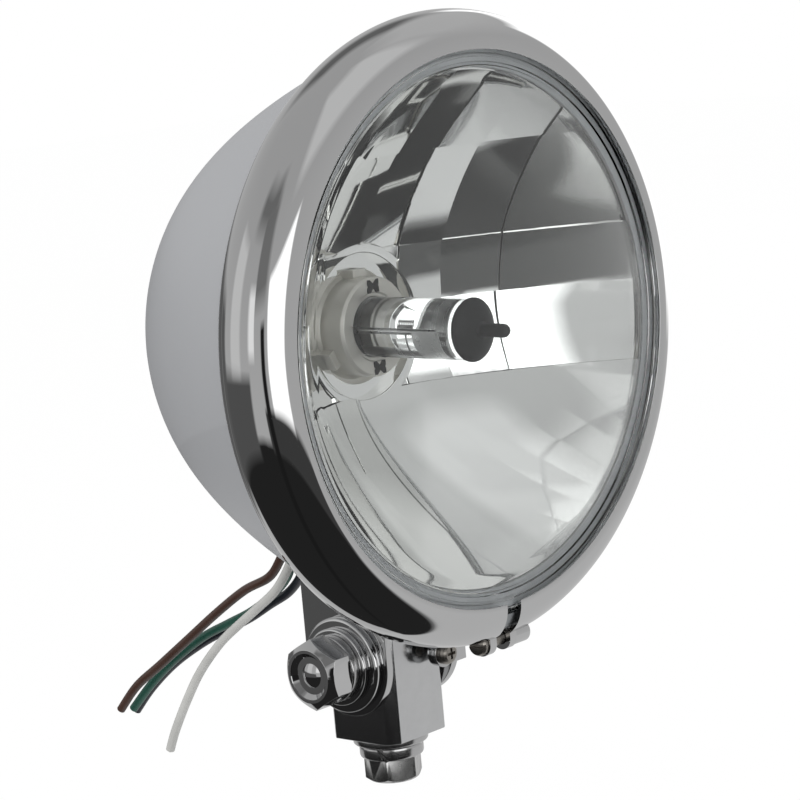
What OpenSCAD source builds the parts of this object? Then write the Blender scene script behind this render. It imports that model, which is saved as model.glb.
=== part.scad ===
// Round motorcycle headlight on a swivel block, in millimetres.
// The lamp faces -Y with its axis level, Z is up and X points right.
// The origin is the middle of the swivel block's underside, where the fork tab sits.
// Depths inside the lamp are counted from the ring's lip, positive to the rear.

/* [Lamp place] */
// Rise of the bowl's lowest edge over the block's top
bowl_gap = 1.5; // [1:0.5:20]
// Distance from the mount's axis forward to the ring's lip
lamp_forward = 48; // [44:1:60]

/* [Trim ring] */
// Radius of the glass that shows inside the lip
lip_r = 71.5; // [60:0.5:85]
// Radial width of the front roll
roll_w = 9.6; // [7:0.1:14]
// Depth of the front roll
roll_depth = 5.2; // [4:0.1:8]
// Rise of the front roll over its chord
roll_bulge = 1.5; // [0.8:0.1:2.2]
// Depth of the rear bead
bead_depth = 16.2; // [13:0.1:22]
// Rise of the rear bead over its chord
bead_bulge = 2.9; // [1.5:0.1:4]
// Sheet thickness of the ring
ring_wall = 1.2; // [0.8:0.1:1.6]
// Width of the split at the bottom
split_w = 5.5; // [4:0.5:8]

/* [Ring clamp] */
// Thickness of each clamp lug
lug_t = 2.6; // [2:0.1:4]
// Radius of the round end of a lug
lug_r = 3.3; // [3:0.1:4]
// Depth of the clamp screw behind the lip
lug_depth = 8; // [7.5:0.5:11]
// Drop of the clamp screw below the crease of the ring
lug_drop = 1; // [0.8:0.1:3]
// Diameter of the clamp screw
clamp_screw_d = 3.5; // [3:0.5:4]
// Diameter of the clamp screw's head
clamp_head_d = 5.8; // [5:0.2:6.4]
// Thickness of the clamp screw's head
clamp_head_t = 2.4; // [2:0.1:3]
// Length of the barrel nut
barrel_nut_l = 7; // [5:0.5:9]
// Diameter of the barrel nut
barrel_nut_d = 6; // [5.4:0.2:6.4]
// Width of the tongue behind the split, as an angle
tongue_angle = 13; // [9:1:20]
// Thickness of the tongue
tongue_t = 0.8; // [0.5:0.1:1.2]

/* [Shell] */
// Step from the lip out to the shell's mouth
mouth_step = 4; // [3:0.1:6]
// Room between the connector and the crown of the bowl
bowl_room = 16.3; // [6:0.1:25]
// Fullness of the bowl, where 2 is a parabola
bowl_power = 3.28; // [2.4:0.02:4.4]
// Sheet thickness of the shell
shell_wall = 1.2; // [0.8:0.1:1.6]
// Width of the rim turned out at the mouth
rim_w = 3.1; // [2:0.1:3.4]

/* [Lens and reflector] */
// Overlap of the glass under the lip
lens_lap = 1.5; // [1:0.1:2]
// Thickness of the glass
lens_t = 3; // [2.5:0.1:4]
// Width of the flat border of the glass
lens_flat_w = 6.7; // [5:0.1:9]
// Height of the dome of the glass
dome_h = 10; // [7:0.5:16]
// Thickness of the sealing bead
seal_t = 1.5; // [1:0.1:2.5]
// Gap between the pip on the bulb and the glass
pip_gap = 1.2; // [1:0.1:4]
// Thickness of the reflector, along the lamp's axis
reflector_t = 3; // [2.4:0.1:4]
// Thickness of the reflector's flange
reflector_flange_t = 2; // [1.5:0.1:3]
// Step between neighbouring reflector facets
facet_step = 1.1; // [0.6:0.1:1.5]
// Room between the bulb's flange and the reflector's neck
neck_clear = 0.8; // [0.4:0.1:2]
// Wall of the neck
neck_wall = 2.5; // [2:0.1:4]

/* [Bulb] */
// Diameter of the bulb's mounting flange
bulb_flange_d = 37.4; // [34:0.2:38]
// Thickness of the mounting flange
bulb_flange_t = 1.2; // [1:0.1:1.6]
// Diameter of the bulb's metal sleeve
sleeve_d = 26.6; // [22:0.2:28]
// Length of the metal sleeve in front of the flange
sleeve_l = 9; // [6:0.5:12]
// Diameter of the glass envelope
envelope_d = 16; // [14:0.5:18]
// Length of the glass envelope in front of the flange
envelope_l = 45; // [42:0.5:50]
// Wall of the glass envelope
envelope_wall = 1; // [0.8:0.1:1.4]
// Length of the black coat on the tip
coat_l = 3; // [3:0.5:12]
// Thickness of the black coat
coat_t = 0.25; // [0.15:0.05:0.4]
// Length of the pip on the tip
pip_l = 8.8; // [2:0.2:9]
// Diameter of the insulator that holds the blades
insulator_d = 24; // [20:0.5:26]
// Length of the insulator
insulator_l = 9; // [7:0.5:12]
// Width of a terminal blade
blade_w = 7.8; // [6.3:0.1:8]
// Thickness of a terminal blade
blade_t = 0.8; // [0.6:0.1:1]
// Length of a terminal blade
blade_l = 9; // [7:0.5:11]
// Distance of each blade from the bulb's axis
blade_off = 7; // [6.2:0.1:8]
// Wire diameter of the retaining spring
clip_wire_d = 1.5; // [1:0.1:1.8]

/* [Connector and boot] */
// Width of the connector
connector_w = 27; // [25:0.5:30]
// Length of the connector
connector_l = 17; // [14:0.5:20]
// Wall of the rubber boot
boot_wall = 1.8; // [1.2:0.1:2.4]

/* [Leads] */
// Diameter of each lead
lead_d = 2.6; // [2:0.1:2.8]
// Radius in the bowl where the leads leave
exit_r = 53; // [46:1:58]
// Radius of the hole for the grommet
grommet_hole_r = 6.4; // [6:0.1:7]
// Width of the grommet's lips
grommet_lip = 2.4; // [2:0.1:4]
// Thickness of the grommet's lips
grommet_lip_t = 2; // [1.2:0.1:3]
// Spacing of the leads in the grommet
lead_pitch = 3.6; // [3.3:0.1:4]

/* [Swivel block] */
// Width and depth of the block
block_w = 24; // [20:0.5:30]
// Chamfer on the block's upright edges
block_chamfer = 3; // [1.5:0.5:4]
// Height of the pivot over the block's underside
pivot_height = 22.5; // [20:0.5:28]
// Height of the block over the pivot
block_top = 12; // [8:0.5:13]

/* [Bracket] */
// Thickness of each ear
ear_t = 2.5; // [2:0.1:4]
// Half width of an ear, the radius of its round end
ear_r = 14.5; // [13.5:0.5:16]
// Gap between an ear and the block
ear_gap = 0.1; // [0.05:0.05:0.3]
// Thickness of the saddle that joins the ears on the shell
saddle_t = 2.5; // [2:0.1:3]

/* [Pivot bolt] */
// Diameter of the pivot bolt
pivot_d = 10; // [8:1:10]
// Radial clearance of the pivot bolt in the block
pivot_clear = 0.05; // [0.02:0.01:0.1]
// Nut size across the flats
nut_af = 17; // [14:1:17]
// Thickness of the pivot nut
nut_t = 8; // [6:0.5:9]
// Height of the pivot bolt's domed end
bolt_dome = 2; // [1:0.1:3]
// Distance of the domed end inside the nut's outer face
bolt_end_in = 0.6; // [0.2:0.1:1.2]
// Thickness of the pivot bolt's head
pivot_head_t = 6.4; // [5:0.2:8]
// Outer diameter of the pivot's spring washer
spring_od = 18; // [16:0.5:19]
// Thickness of the pivot's spring washer
spring_t = 2.5; // [2:0.1:3]
// Outer diameter of the pivot's flat washer
flat_od = 21; // [20:0.5:24]
// Thickness of the pivot's flat washer
flat_t = 2; // [1.5:0.1:2.5]
// Outer diameter of the pivot's wide washer
wide_od = 26; // [24.5:0.5:28]
// Thickness of the pivot's wide washer
wide_t = 2.6; // [2:0.1:3.5]

/* [Mounting bolt] */
// Diameter of the mounting bolt
mount_d = 10; // [8:1:10]
// Head size across the flats
mount_head_af = 14; // [13:1:17]
// Thickness of the mounting bolt's head
mount_head_t = 6.4; // [5:0.2:8]
// Reach of the mounting bolt into the block
mount_reach = 13; // [8:0.5:14]
// Outer diameter of the mounting bolt's flat washer
mount_flat_od = 20.5; // [19:0.5:24]
// Thickness of the mounting bolt's flat washer
mount_flat_t = 2.4; // [1.6:0.1:2.6]
// Outer diameter of the mounting bolt's spring washer
mount_spring_od = 17.5; // [16:0.5:19]
// Thickness of the mounting bolt's spring washer
mount_spring_t = 4; // [2.5:0.1:4.4]

/* [Tab screw] */
// Distance from the pivot forward to the tab on the right ear
tab_gap = 15; // [14.8:0.1:16]
// Thickness of the tab
tab_t = 2; // [1.6:0.1:2.5]
// Half height of the tab
tab_r = 3.8; // [3.4:0.1:4.2]
// Distance of the tab screw to the right of the mount's axis
tab_x = 5; // [3:0.5:8]
// Diameter of the tab screw
tab_screw_d = 3.5; // [3:0.5:4]
// Diameter of the tab screw's head
tab_head_d = 6.2; // [5.6:0.2:7]
// Thickness of the tab screw's head
tab_head_t = 2.4; // [2:0.1:3]
// Diameter of the tab screw's washer
tab_washer_d = 7.8; // [7.2:0.2:9]
// Thickness of the tab screw's washer
tab_washer_t = 0.9; // [0.6:0.1:1.2]

/* [Hidden] */
$fn = 96;

// Small gaps between pieces that seat on each other
seat = 0.05;
// Side clearance of a screw or bolt in a plain hole
hole_clear = 0.2;
// Heights over the bowl of the points where a lead runs straight through the grommet
straight_run = [-8, -2, 4, 10];
// Length of a cut through the bowl's wall
exit_cut = 20;
// Clearance of the bracket round the grommet
grommet_clear = 1;
// Steps in an arc of a turned profile
arc_steps = 10;
// Thickness of the inner seat for the bulb
seat_t = 1.6;
// Width of the inner seat for the bulb
ledge_w = 4;
// Length of the neck behind the bulb's flange
neck_tail = 3;
// Length of the boot's grip on the neck
boot_grip = 1.4;
// Depth of a blade in its insulator
blade_root = 5;
// Thickness of the closed foot of the envelope
pinch_t = 5;
// Height of the round end of the envelope
envelope_dome = 3;
// Chamfer on the grommet's lips and the barrel nut
edge = 1;
// Radius of the pip on the bulb's tip
pip_r = 1.8;
// Width, length and height of a locating tab on the bulb's flange
bulb_tab = [3, 5, 4.5];
// Length and radius of a filament, and radius of its leg
filament_l = 5.5;
filament_r = 0.8;
leg_r = 0.3;
// Radius, length and distance from the axis of the support wires
support_r = 0.6;
support_l = 30;
support_off = 4.4;
// Radii and length of the shield under the low filament
shield_r = 5.4;
shield_in = 4.6;
shield_l = 9;
// Length of the support wires past the low filament's middle
wire_tip = 0.8;
// Gap between the shield's closed end and the high filament
high_gap = 1;
// Distance of the low and high filaments in front of the flange
low_start = pinch_t + support_l + filament_l / 2 - wire_tip;
high_start = pinch_t + support_l + edge - shield_l - high_gap;
// Depth of a wire's way into the connector
wire_bore = 6;
// A length that is past the end of anything it cuts
far = 400;

crease_r = lip_r + roll_w;
mouth_r = lip_r + mouth_step;
block_h = pivot_height + block_top;
lamp_height = block_h + bowl_gap + mouth_r;
ring_rear = roll_depth + bead_depth;
ring_rear_r = mouth_r + seat + ring_wall;

lens_r = lip_r + lens_lap;
lens_front = ring_wall + 0.2;
lens_rear = lens_front + lens_t;
dome_r = lens_r - lens_flat_w;
reflector_front = lens_rear + seal_t;
rim_front = reflector_front + reflector_flange_t;

neck_r = bulb_flange_d / 2 + neck_clear;
tip_front = lens_rear - dome_h + pip_gap + pip_l;
bulb_ref = tip_front + envelope_l;
bulb_back = bulb_ref + bulb_flange_t;
seat_depth = bulb_ref - seat_t;
neck_front = seat_depth - reflector_t;
focal_length = (dome_r * dome_r - neck_r * neck_r) / (4 * (neck_front - reflector_front));
vertex = neck_front + neck_r * neck_r / (4 * focal_length);
insulator_end = bulb_back + insulator_l;
connector_front = insulator_end + 1;
bowl_depth = connector_front + connector_l + bowl_room - ring_rear;
neck_back = bulb_back + neck_tail;

slope_exit = bowl_depth * bowl_power / mouth_r * pow(exit_r / mouth_r, bowl_power - 1);
exit_turn = 180 + atan2(1, slope_exit);

pivot_r = pivot_d / 2;
ear_in = block_w / 2 + ear_gap;
ear_out = ear_in + ear_t;
nut_in = ear_out + wide_t + flat_t + spring_t;
nut_out = nut_in + nut_t;
mount_head_top = -mount_flat_t - mount_spring_t;
lug_z = crease_r + lug_drop;
lug_out = split_w / 2 + lug_t;

// Columns and rows that cut the upper reflector into facets
facet_x = [-80, -38, -24, -10, 10, 24, 38, 80];
facet_z = [-13, 12, 25, 47, 80];

// Points of the leads' routes outside the grommet, chosen along the photographed bends
brown_route = [[-1, 35, 45], [0, 41, 39.5], [0, 51, 35], [0, 63, 27.5], [0, 76, 18.5], [0, 89, 9.5],
    [0, 100, 2], [0, 108, -6]];
green_route = [[3, 34, 45], [4.5, 38.5, 38.5], [5, 46, 32.5], [5, 54, 27.5], [5, 64, 23], [5, 75, 18],
    [5, 88, 10], [5, 99, 1.5], [5, 108, -7]];
blue_route = [[4.5, 31, 43.5], [7, 36, 38], [8.5, 42.5, 33], [8.5, 50, 29], [8, 58, 24.5], [8, 67, 20.5],
    [8, 78, 15.5], [8, 91, 8], [8, 102, -0.5], [8, 110, -8.5]];
white_route = [[-3, 30.5, 43], [-4, 35, 37], [-5, 42, 31.5], [-5, 50, 26], [-5, 58, 20], [-5, 67, 11],
    [-5, 74, 1.5], [-5, 80, -8], [-5, 83, -14]];

// Points of an arc from a to b that rises by s over its chord, moved inward by t
function bulge_arc(a, b, s, t = 0) =
    let (v = b - a, c = norm(v), d = v / c, m = [d[1], -d[0]])
    let (r = (c * c / 4 + s * s) / (2 * s), half = asin(c / 2 / r))
    let (o = (a + b) / 2 - m * (r - s))
    [for (i = [0:arc_steps]) let (w = half * (2 * i / arc_steps - 1))
        o + (r - t) * (cos(w) * m + sin(w) * d)];

function roll_line(t) = bulge_arc([lip_r, 0], [crease_r, roll_depth], roll_bulge, t);
function bead_line(t) = bulge_arc([crease_r, roll_depth], [ring_rear_r, ring_rear], bead_bulge, t);
function tail(list, first) = [for (i = [first:len(list) - 1]) list[i]];
function front(list, last) = [for (i = [0:last]) list[i]];
function reverse(list) = [for (i = [len(list) - 1:-1:0]) list[i]];

// Outline of the ring's sheet between two depths under its face
function ring_sheet(t0, t1) = concat(roll_line(t0), tail(bead_line(t0), 1),
    reverse(tail(bead_line(t1), 1)), reverse(front(roll_line(t1), arc_steps - 1)));

// Depth of the bowl's outside at radius r, with the bowl grown by g
function bowl_h(r, g) = ring_rear + (bowl_depth + g) * (1 - pow(r / (mouth_r + g), bowl_power));
function bowl_line(g) =
    [for (i = [0:24]) let (r = (mouth_r + g) * cos(i * 90 / 24)) [r, bowl_h(r, g)]];
function parabola_h(r) = vertex - r * r / (4 * focal_length);
function parabola_line(r0, r1, shift) =
    [for (i = [0:14]) let (r = r0 + (r1 - r0) * i / 14) [r, parabola_h(r) + shift]];
// Half of a dome over the origin, from its top to its rim
function dome_points(r, h) = let (big = (r * r + h * h) / (2 * h))
    [for (i = [0:8]) let (w = asin(r / big) * i / 8) [big * sin(w), h - big * (1 - cos(w))]];
// Half of a dome on the axis, from its rim to its top
function dome_line(r, top, h) = let (big = (r * r + h * h) / (2 * h))
    [for (i = [0:12]) let (w = asin(r / big) * (1 - i / 12)) [big * sin(w), top + big * (1 - cos(w))]];

// Points along a smooth curve through the route
function spline(p, i, t) =
    let (a = p[max(i - 1, 0)], b = p[i], c = p[i + 1], d = p[min(i + 2, len(p) - 1)])
    0.5 * ((2 * b) + (c - a) * t + (2 * a - 5 * b + 4 * c - d) * t * t
    + (3 * b - a - 3 * c + d) * t * t * t);
function smooth_route(p, n) = concat([for (i = [0:len(p) - 2]) for (k = [0:n - 1]) spline(p, i, k / n)],
    [p[len(p) - 1]]);
function unit(v) = v / norm(v);

// A round lead swept along its route
module lead_tube(route, d, sides = 8) {
    p = smooth_route(route, 2);
    n = len(p);
    ring = [for (i = [0:n - 1])
        let (t = unit(p[min(i + 1, n - 1)] - p[max(i - 1, 0)]))
        let (u = unit(cross([1, 0, 0], t)), w = cross(t, u))
        for (k = [0:sides - 1]) p[i] + d / 2 * (cos(k * 360 / sides) * u + sin(k * 360 / sides) * w)];
    sides_faces = [for (i = [0:n - 2]) for (k = [0:sides - 1])
        let (a = i * sides + k, b = i * sides + (k + 1) % sides) [a, a + sides, b + sides, b]];
    caps = [[for (k = [0:sides - 1]) k], [for (k = [sides - 1:-1:0]) (n - 1) * sides + k]];
    polyhedron(points = ring, faces = concat(sides_faces, caps), convexity = 6);
}

// Puts a piece turned about Z onto the lamp's axis, with its height running to the rear
module on_axis() {
    translate([0, -lamp_forward, lamp_height]) rotate([-90, 0, 0]) children();
}

// Puts a piece at the point where the leads leave, its height running out of the bowl
module at_exit() {
    translate([0, bowl_h(exit_r, 0) - lamp_forward, lamp_height - exit_r]) rotate([exit_turn, 0, 0])
        children();
}

// A point given at the exit, in the part's own frame
function from_exit(p) = [p[0],
    bowl_h(exit_r, 0) - lamp_forward + cos(exit_turn) * p[1] - sin(exit_turn) * p[2],
    lamp_height - exit_r + sin(exit_turn) * p[1] + cos(exit_turn) * p[2]];
function lead_start(x, y) = [for (h = straight_run) from_exit([x, y, h])];

// A cylinder along X from x0 to x1, at the pivot's height
module along_x(x0, x1, r) {
    translate([x0, 0, 0]) rotate([0, 90, 0]) cylinder(h = x1 - x0, r = r);
}

// A plain washer lying on the XY plane
module washer(od, hole, t) {
    difference() {
        cylinder(h = t, d = od);
        translate([0, 0, -1]) cylinder(h = t + 2, d = hole);
    }
}

// A split spring washer, cut on a slant
module split_washer(od, hole, t) {
    difference() {
        washer(od, hole, t);
        translate([-od / 2, 0, t / 2]) rotate([25, 0, 0]) cube([od, 1.6, 3 * t], center = true);
    }
}

// A hexagon bar turned down at its seat by b0 and at its free end by b1
module hex_body(af, t, b0, b1) {
    corner = af / cos(30) / 2;
    intersection() {
        cylinder(h = t, r = corner, $fn = 6);
        rotate_extrude() polygon([[0, 0], [corner - b0, 0], [corner, b0 * 0.6],
            [corner, t - b1 * 0.8], [corner - b1, t], [0, t]]);
    }
}

// A pan head with a cross recess, its seat on the XY plane
module cross_head(d, t) {
    difference() {
        rotate_extrude() polygon([[0, 0], [d / 2, 0], [d / 2, t * 0.45], [d * 0.44, t * 0.78],
            [d * 0.34, t * 0.95], [d * 0.2, t], [0, t]]);
        for (a = [0, 90]) rotate([0, 0, a])
            translate([0, 0, t]) cube([d * 0.5, d * 0.13, t], center = true);
    }
}

// Bowl that stands in for the shell's outside, grown by g
module bowl_solid(g) {
    rotate_extrude() polygon(concat([[0, 0], [mouth_r + g, 0]], bowl_line(g)));
}

// Deep drawn bowl with a turned out rim and a hole for the grommet
module shell() {
    color([0.78, 0.79, 0.8]) difference() {
        on_axis() rotate_extrude() polygon(concat(
            [[mouth_r - shell_wall, rim_front], [mouth_r + rim_w, rim_front],
            [mouth_r + rim_w, rim_front + shell_wall], [mouth_r, rim_front + shell_wall]],
            bowl_line(0), reverse(bowl_line(-shell_wall))));
        at_exit() translate([0, 0, -exit_cut / 2]) cylinder(h = exit_cut, r = grommet_hole_r);
    }
}

// Two ears and the saddle that carries them, brazed to the bowl
module bracket() {
    color([0.72, 0.73, 0.74]) difference() {
        union() {
            for (side = [-1, 1]) ear(side);
            intersection() {
                translate([-ear_out, -ear_r, pivot_height])
                    cube([2 * ear_out, 2 * ear_r, lamp_height - pivot_height]);
                on_axis() bowl_solid(saddle_t);
            }
            front_tab();
        }
        on_axis() bowl_solid(0.02);
        at_exit() translate([0, 0, -exit_cut / 2])
            cylinder(h = exit_cut, r = grommet_hole_r + grommet_lip + grommet_clear);
        translate([0, 0, pivot_height]) along_x(-far, far, pivot_r + seat);
        translate([tab_x, -far / 2, pivot_height]) rotate([-90, 0, 0])
            cylinder(h = far / 2, d = tab_screw_d + 2 * seat);
    }
}

// One ear, a plate with a round end about the pivot
module ear(side) {
    translate([side * (ear_in + ear_t / 2), 0, pivot_height]) rotate([90, 0, 90])
        translate([0, 0, -ear_t / 2]) {
            cylinder(h = ear_t, r = ear_r);
            translate([-ear_r, 0, 0]) cube([2 * ear_r, lamp_height - mouth_r, ear_t]);
        }
}

// Small tab folded in from the right ear's front edge
module front_tab() {
    translate([ear_in, -tab_gap - tab_t, pivot_height - tab_r])
        cube([ear_t, tab_gap + tab_t - ear_r + 2, 2 * tab_r]);
    translate([tab_x, -tab_gap, pivot_height]) rotate([90, 0, 0]) cylinder(h = tab_t, r = tab_r);
    translate([tab_x, -tab_gap - tab_t, pivot_height - tab_r]) cube([ear_out - tab_x, tab_t, 2 * tab_r]);
}

// Soft ring in the shell's hole, with one passage for each lead
module grommet() {
    reach = grommet_hole_r + grommet_lip;
    gap = seat + reach * reach / (2 * mouth_r);
    waist = grommet_hole_r - seat;
    low = -shell_wall - gap;
    high = gap + grommet_lip_t;
    color([0.09, 0.09, 0.1]) at_exit() difference() {
        rotate_extrude() polygon([[0, low - grommet_lip_t], [reach - edge, low - grommet_lip_t],
            [reach, low - edge], [reach, low], [waist, low], [waist, gap], [reach, gap],
            [reach, high - edge], [reach - edge, high], [0, high]]);
        for (x = [-0.5, 0.5], y = [-0.5, 0.5])
            translate([x * lead_pitch, y * lead_pitch, -exit_cut / 2])
            cylinder(h = exit_cut, d = lead_d + 2 * seat);
    }
}

// Chrome ring of pressed sheet, split at the bottom between two lugs
module trim_ring() {
    pocket = clamp_head_d / 2 + hole_clear;
    color([0.8, 0.8, 0.79]) on_axis() difference() {
        union() {
            rotate_extrude() polygon(ring_sheet(0, ring_wall));
            for (x = [split_w / 2, -split_w / 2 - lug_t]) ring_lug(x);
        }
        translate([-split_w / 2, 0, -far / 2]) cube([split_w, far, far]);
        translate([-far / 2, lug_z, lug_depth]) rotate([0, 90, 0])
            cylinder(h = far, d = clamp_screw_d + 2 * hole_clear);
        translate([-lug_out - clamp_head_t - 1, 0, lug_depth - pocket])
            cube([clamp_head_t + 1, far, 2 * pocket]);
        translate([lug_out, 0, lug_depth - pocket]) cube([barrel_nut_l + 0.6, far, 2 * pocket]);
    }
}

// A lug folded down beside the split, from x0, in the lamp's turned frame where Y is down
module ring_lug(x0) {
    root = crease_r - ring_wall - 0.2;
    translate([x0, lug_z, lug_depth]) rotate([0, 90, 0]) cylinder(h = lug_t, r = lug_r);
    translate([x0, root, lug_depth - lug_r]) cube([lug_t, lug_z - root, 2 * lug_r]);
}

// Short strip that bridges the split from behind
module ring_tongue() {
    outer = tail(front(roll_line(ring_wall + seat), 8), 3);
    inner = tail(front(roll_line(ring_wall + seat + tongue_t), 8), 3);
    color([0.45, 0.47, 0.48]) on_axis() rotate([0, 0, 90 - tongue_angle / 2])
        rotate_extrude(angle = tongue_angle) polygon(concat(outer, reverse(inner)));
}

// Screw that draws the two lugs together
module ring_screw() {
    x0 = -lug_out - seat;
    color([0.6, 0.6, 0.6]) on_axis() translate([x0, lug_z, lug_depth]) {
        rotate([0, -90, 0]) cross_head(clamp_head_d, clamp_head_t);
        rotate([0, 90, 0]) cylinder(h = split_w + 2 * lug_t + barrel_nut_l - 1, d = clamp_screw_d);
    }
}

// Barrel nut on the far side of the clamp
module ring_nut() {
    color([0.75, 0.74, 0.72]) on_axis() translate([lug_out + seat, lug_z, lug_depth])
        rotate([0, 90, 0]) difference() {
            rotate_extrude() polygon([[0, 0], [barrel_nut_d / 2, 0],
                [barrel_nut_d / 2, barrel_nut_l - edge], [barrel_nut_d / 2 - edge, barrel_nut_l],
                [0, barrel_nut_l]]);
            translate([0, 0, -1]) cylinder(h = barrel_nut_l + 2, d = clamp_screw_d + 2 * seat);
        }
}

// Domed clear glass with a flat border
module lens() {
    inner_r = dome_r - 1;
    color([0.85, 0.9, 0.92, 0.35]) on_axis() rotate_extrude() polygon(concat(
        [[inner_r, lens_rear], [lens_r, lens_rear], [lens_r, lens_front]],
        dome_line(dome_r, lens_front - dome_h, dome_h),
        reverse(dome_line(inner_r, lens_rear - dome_h, dome_h))));
}

// Grey bead that seals the glass to the reflector
module lens_seal() {
    color([0.5, 0.51, 0.52]) on_axis() rotate_extrude()
        polygon([[dome_r + 0.6, lens_rear + seat], [lens_r, lens_rear + seat],
            [lens_r, reflector_front - seat], [dome_r + 0.6, reflector_front - seat]]);
}

// One mirror skin of the reflector, moved back by shift
module mirror_skin(shift) {
    rotate_extrude() polygon(concat(parabola_line(neck_r + 0.8, dome_r, shift),
        reverse(parabola_line(neck_r + 0.8, dome_r, shift + reflector_t))));
}

// Mirror bowl: smooth below, stepped facets above
module reflector() {
    color([0.85, 0.86, 0.87]) on_axis() {
        intersection() {
            mirror_skin(0);
            translate([-far / 2, -facet_z[0], 0]) cube([far, far, far]);
        }
        for (i = [0:len(facet_x) - 2], j = [0:len(facet_z) - 2])
            intersection() {
                mirror_skin(facet_step * (0.65 * (i % 2) + 0.35 * ((j + 1) % 2)));
                translate([facet_x[i], -facet_z[j + 1], 0])
                    cube([facet_x[i + 1] - facet_x[i], facet_z[j + 1] - facet_z[j], far]);
            }
        rotate_extrude() polygon([[dome_r, reflector_front], [mouth_r + rim_w - 1, reflector_front],
            [mouth_r + rim_w - 1, rim_front - seat], [dome_r, rim_front - seat],
            [dome_r - 1, rim_front + 1]]);
        difference() {
            rotate_extrude() polygon([[neck_r, neck_front + 0.3],
                [neck_r + neck_wall, parabola_h(neck_r + neck_wall) + 0.3],
                [neck_r + neck_wall, neck_back], [neck_r, neck_back]]);
            for (a = [-60, 240]) rotate([0, 0, a])
                translate([0, -clip_wire_d / 2 - hole_clear, bulb_back])
                    cube([far, clip_wire_d + 2 * hole_clear, far]);
        }
        rotate_extrude() polygon([[neck_r - ledge_w, seat_depth], [neck_r + 0.5, seat_depth],
            [neck_r + 0.5, bulb_ref], [neck_r - ledge_w, bulb_ref]]);
    }
}

// Steel flange and sleeve of the bulb
module bulb_flange() {
    color([0.8, 0.78, 0.68]) on_axis() difference() {
        union() {
            translate([0, 0, bulb_ref + seat]) cylinder(h = bulb_flange_t - seat, d = bulb_flange_d);
            translate([0, 0, bulb_ref - sleeve_l]) cylinder(h = sleeve_l + bulb_flange_t, d = sleeve_d);
            for (a = [30, 150, 270]) rotate([0, 0, a])
                translate([sleeve_d / 2 - 1, -bulb_tab[1] / 2, bulb_ref - bulb_tab[2]]) cube(bulb_tab);
        }
        translate([0, 0, bulb_ref - sleeve_l - 1]) cylinder(h = sleeve_l + 4, d = envelope_d + 2 * seat);
    }
}

// Clear quartz envelope, closed at the front
module bulb_envelope() {
    r = envelope_d / 2;
    w = envelope_wall;
    foot = bulb_ref - pinch_t;
    color([0.9, 0.93, 0.95, 0.4]) on_axis() rotate_extrude() polygon(concat(
        [[0, bulb_ref], [r, bulb_ref]], dome_line(r, tip_front, envelope_dome),
        reverse(dome_line(r - w, tip_front + w, envelope_dome)), [[r - w, foot], [0, foot]]));
}

// Black coat with the sealed pip on the bulb's tip
module bulb_tip() {
    r = envelope_d / 2 + seat;
    c = coat_t;
    top = tip_front - pip_l;
    color([0.07, 0.07, 0.07]) on_axis() rotate_extrude() polygon(concat(
        [[r, tip_front + coat_l], [r + c, tip_front + coat_l]],
        front(dome_line(r + c, tip_front - seat - c, envelope_dome), 10),
        [[pip_r, tip_front - seat - c], [pip_r, top + pip_r / 2], [pip_r * 0.7, top + 0.3], [0, top]],
        reverse(dome_line(r, tip_front - seat, envelope_dome))));
}

// Support wires and shield inside the bulb
module filament_frame() {
    foot = bulb_ref - pinch_t - seat;
    top = foot - support_l - edge;
    color([0.6, 0.58, 0.55]) on_axis() {
        for (a = [0, 90, 180]) rotate([0, 0, a]) translate([support_off, 0, foot - support_l])
            cylinder(h = support_l, r = support_r, $fn = 24);
        difference() {
            translate([0, 0, top]) cylinder(h = shield_l, r = shield_r);
            translate([0, 0, top - 1]) cylinder(h = shield_l, r = shield_in);
            translate([-2 * shield_r, -4 * shield_r, top - 2])
                cube([4 * shield_r, 4 * shield_r, shield_l + 4]);
        }
    }
}

// Wound filament, drawn as a plain rod held at both ends
module filament(x, y, start) {
    color([0.5, 0.48, 0.45]) on_axis() translate([x, y, start]) {
        cylinder(h = filament_l, r = filament_r, $fn = 24);
        translate([0, 0, filament_l / 2]) rotate([-90, 0, 0])
            cylinder(h = support_off - support_r - seat - y, r = leg_r, $fn = 24);
    }
}

module low_filament() {
    filament(0, 1, bulb_ref - low_start);
}

module high_filament() {
    filament(0, 0, bulb_ref - high_start);
}

// Insulator that carries the three blades
module bulb_insulator() {
    color([0.85, 0.82, 0.72]) on_axis() difference() {
        translate([0, 0, bulb_back + seat]) cylinder(h = insulator_l - seat, d = insulator_d);
        for (a = [0, 180, 270]) blade_space(a, seat);
    }
}

// The room of one blade, grown by g
module blade_space(a, g) {
    rotate([0, 0, a])
        translate([blade_off - blade_t / 2 - g, -blade_w / 2 - g, insulator_end - blade_root - g])
        cube([blade_t + 2 * g, blade_w + 2 * g, blade_l + blade_root + 2 * g]);
}

module blade(a) {
    color([0.75, 0.66, 0.42]) on_axis() blade_space(a, 0);
}

module top_blade() {
    blade(270);
}

module left_blade() {
    blade(180);
}

module right_blade() {
    blade(0);
}

// Wire spring that holds the flange against its seat
module bulb_clip() {
    r = bulb_flange_d / 2 - 2.5;
    w = clip_wire_d / 2;
    color([0.6, 0.6, 0.6]) on_axis() translate([0, 0, bulb_back + seat + w]) {
        rotate([0, 0, -60]) rotate_extrude(angle = 300) translate([r, 0]) circle(r = w, $fn = 32);
        for (a = [-60, 240]) rotate([0, 0, a]) translate([r, 0, 0]) rotate([0, 90, 0])
            cylinder(h = neck_r + neck_wall - r - 0.5, r = w, $fn = 32);
    }
}

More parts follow.
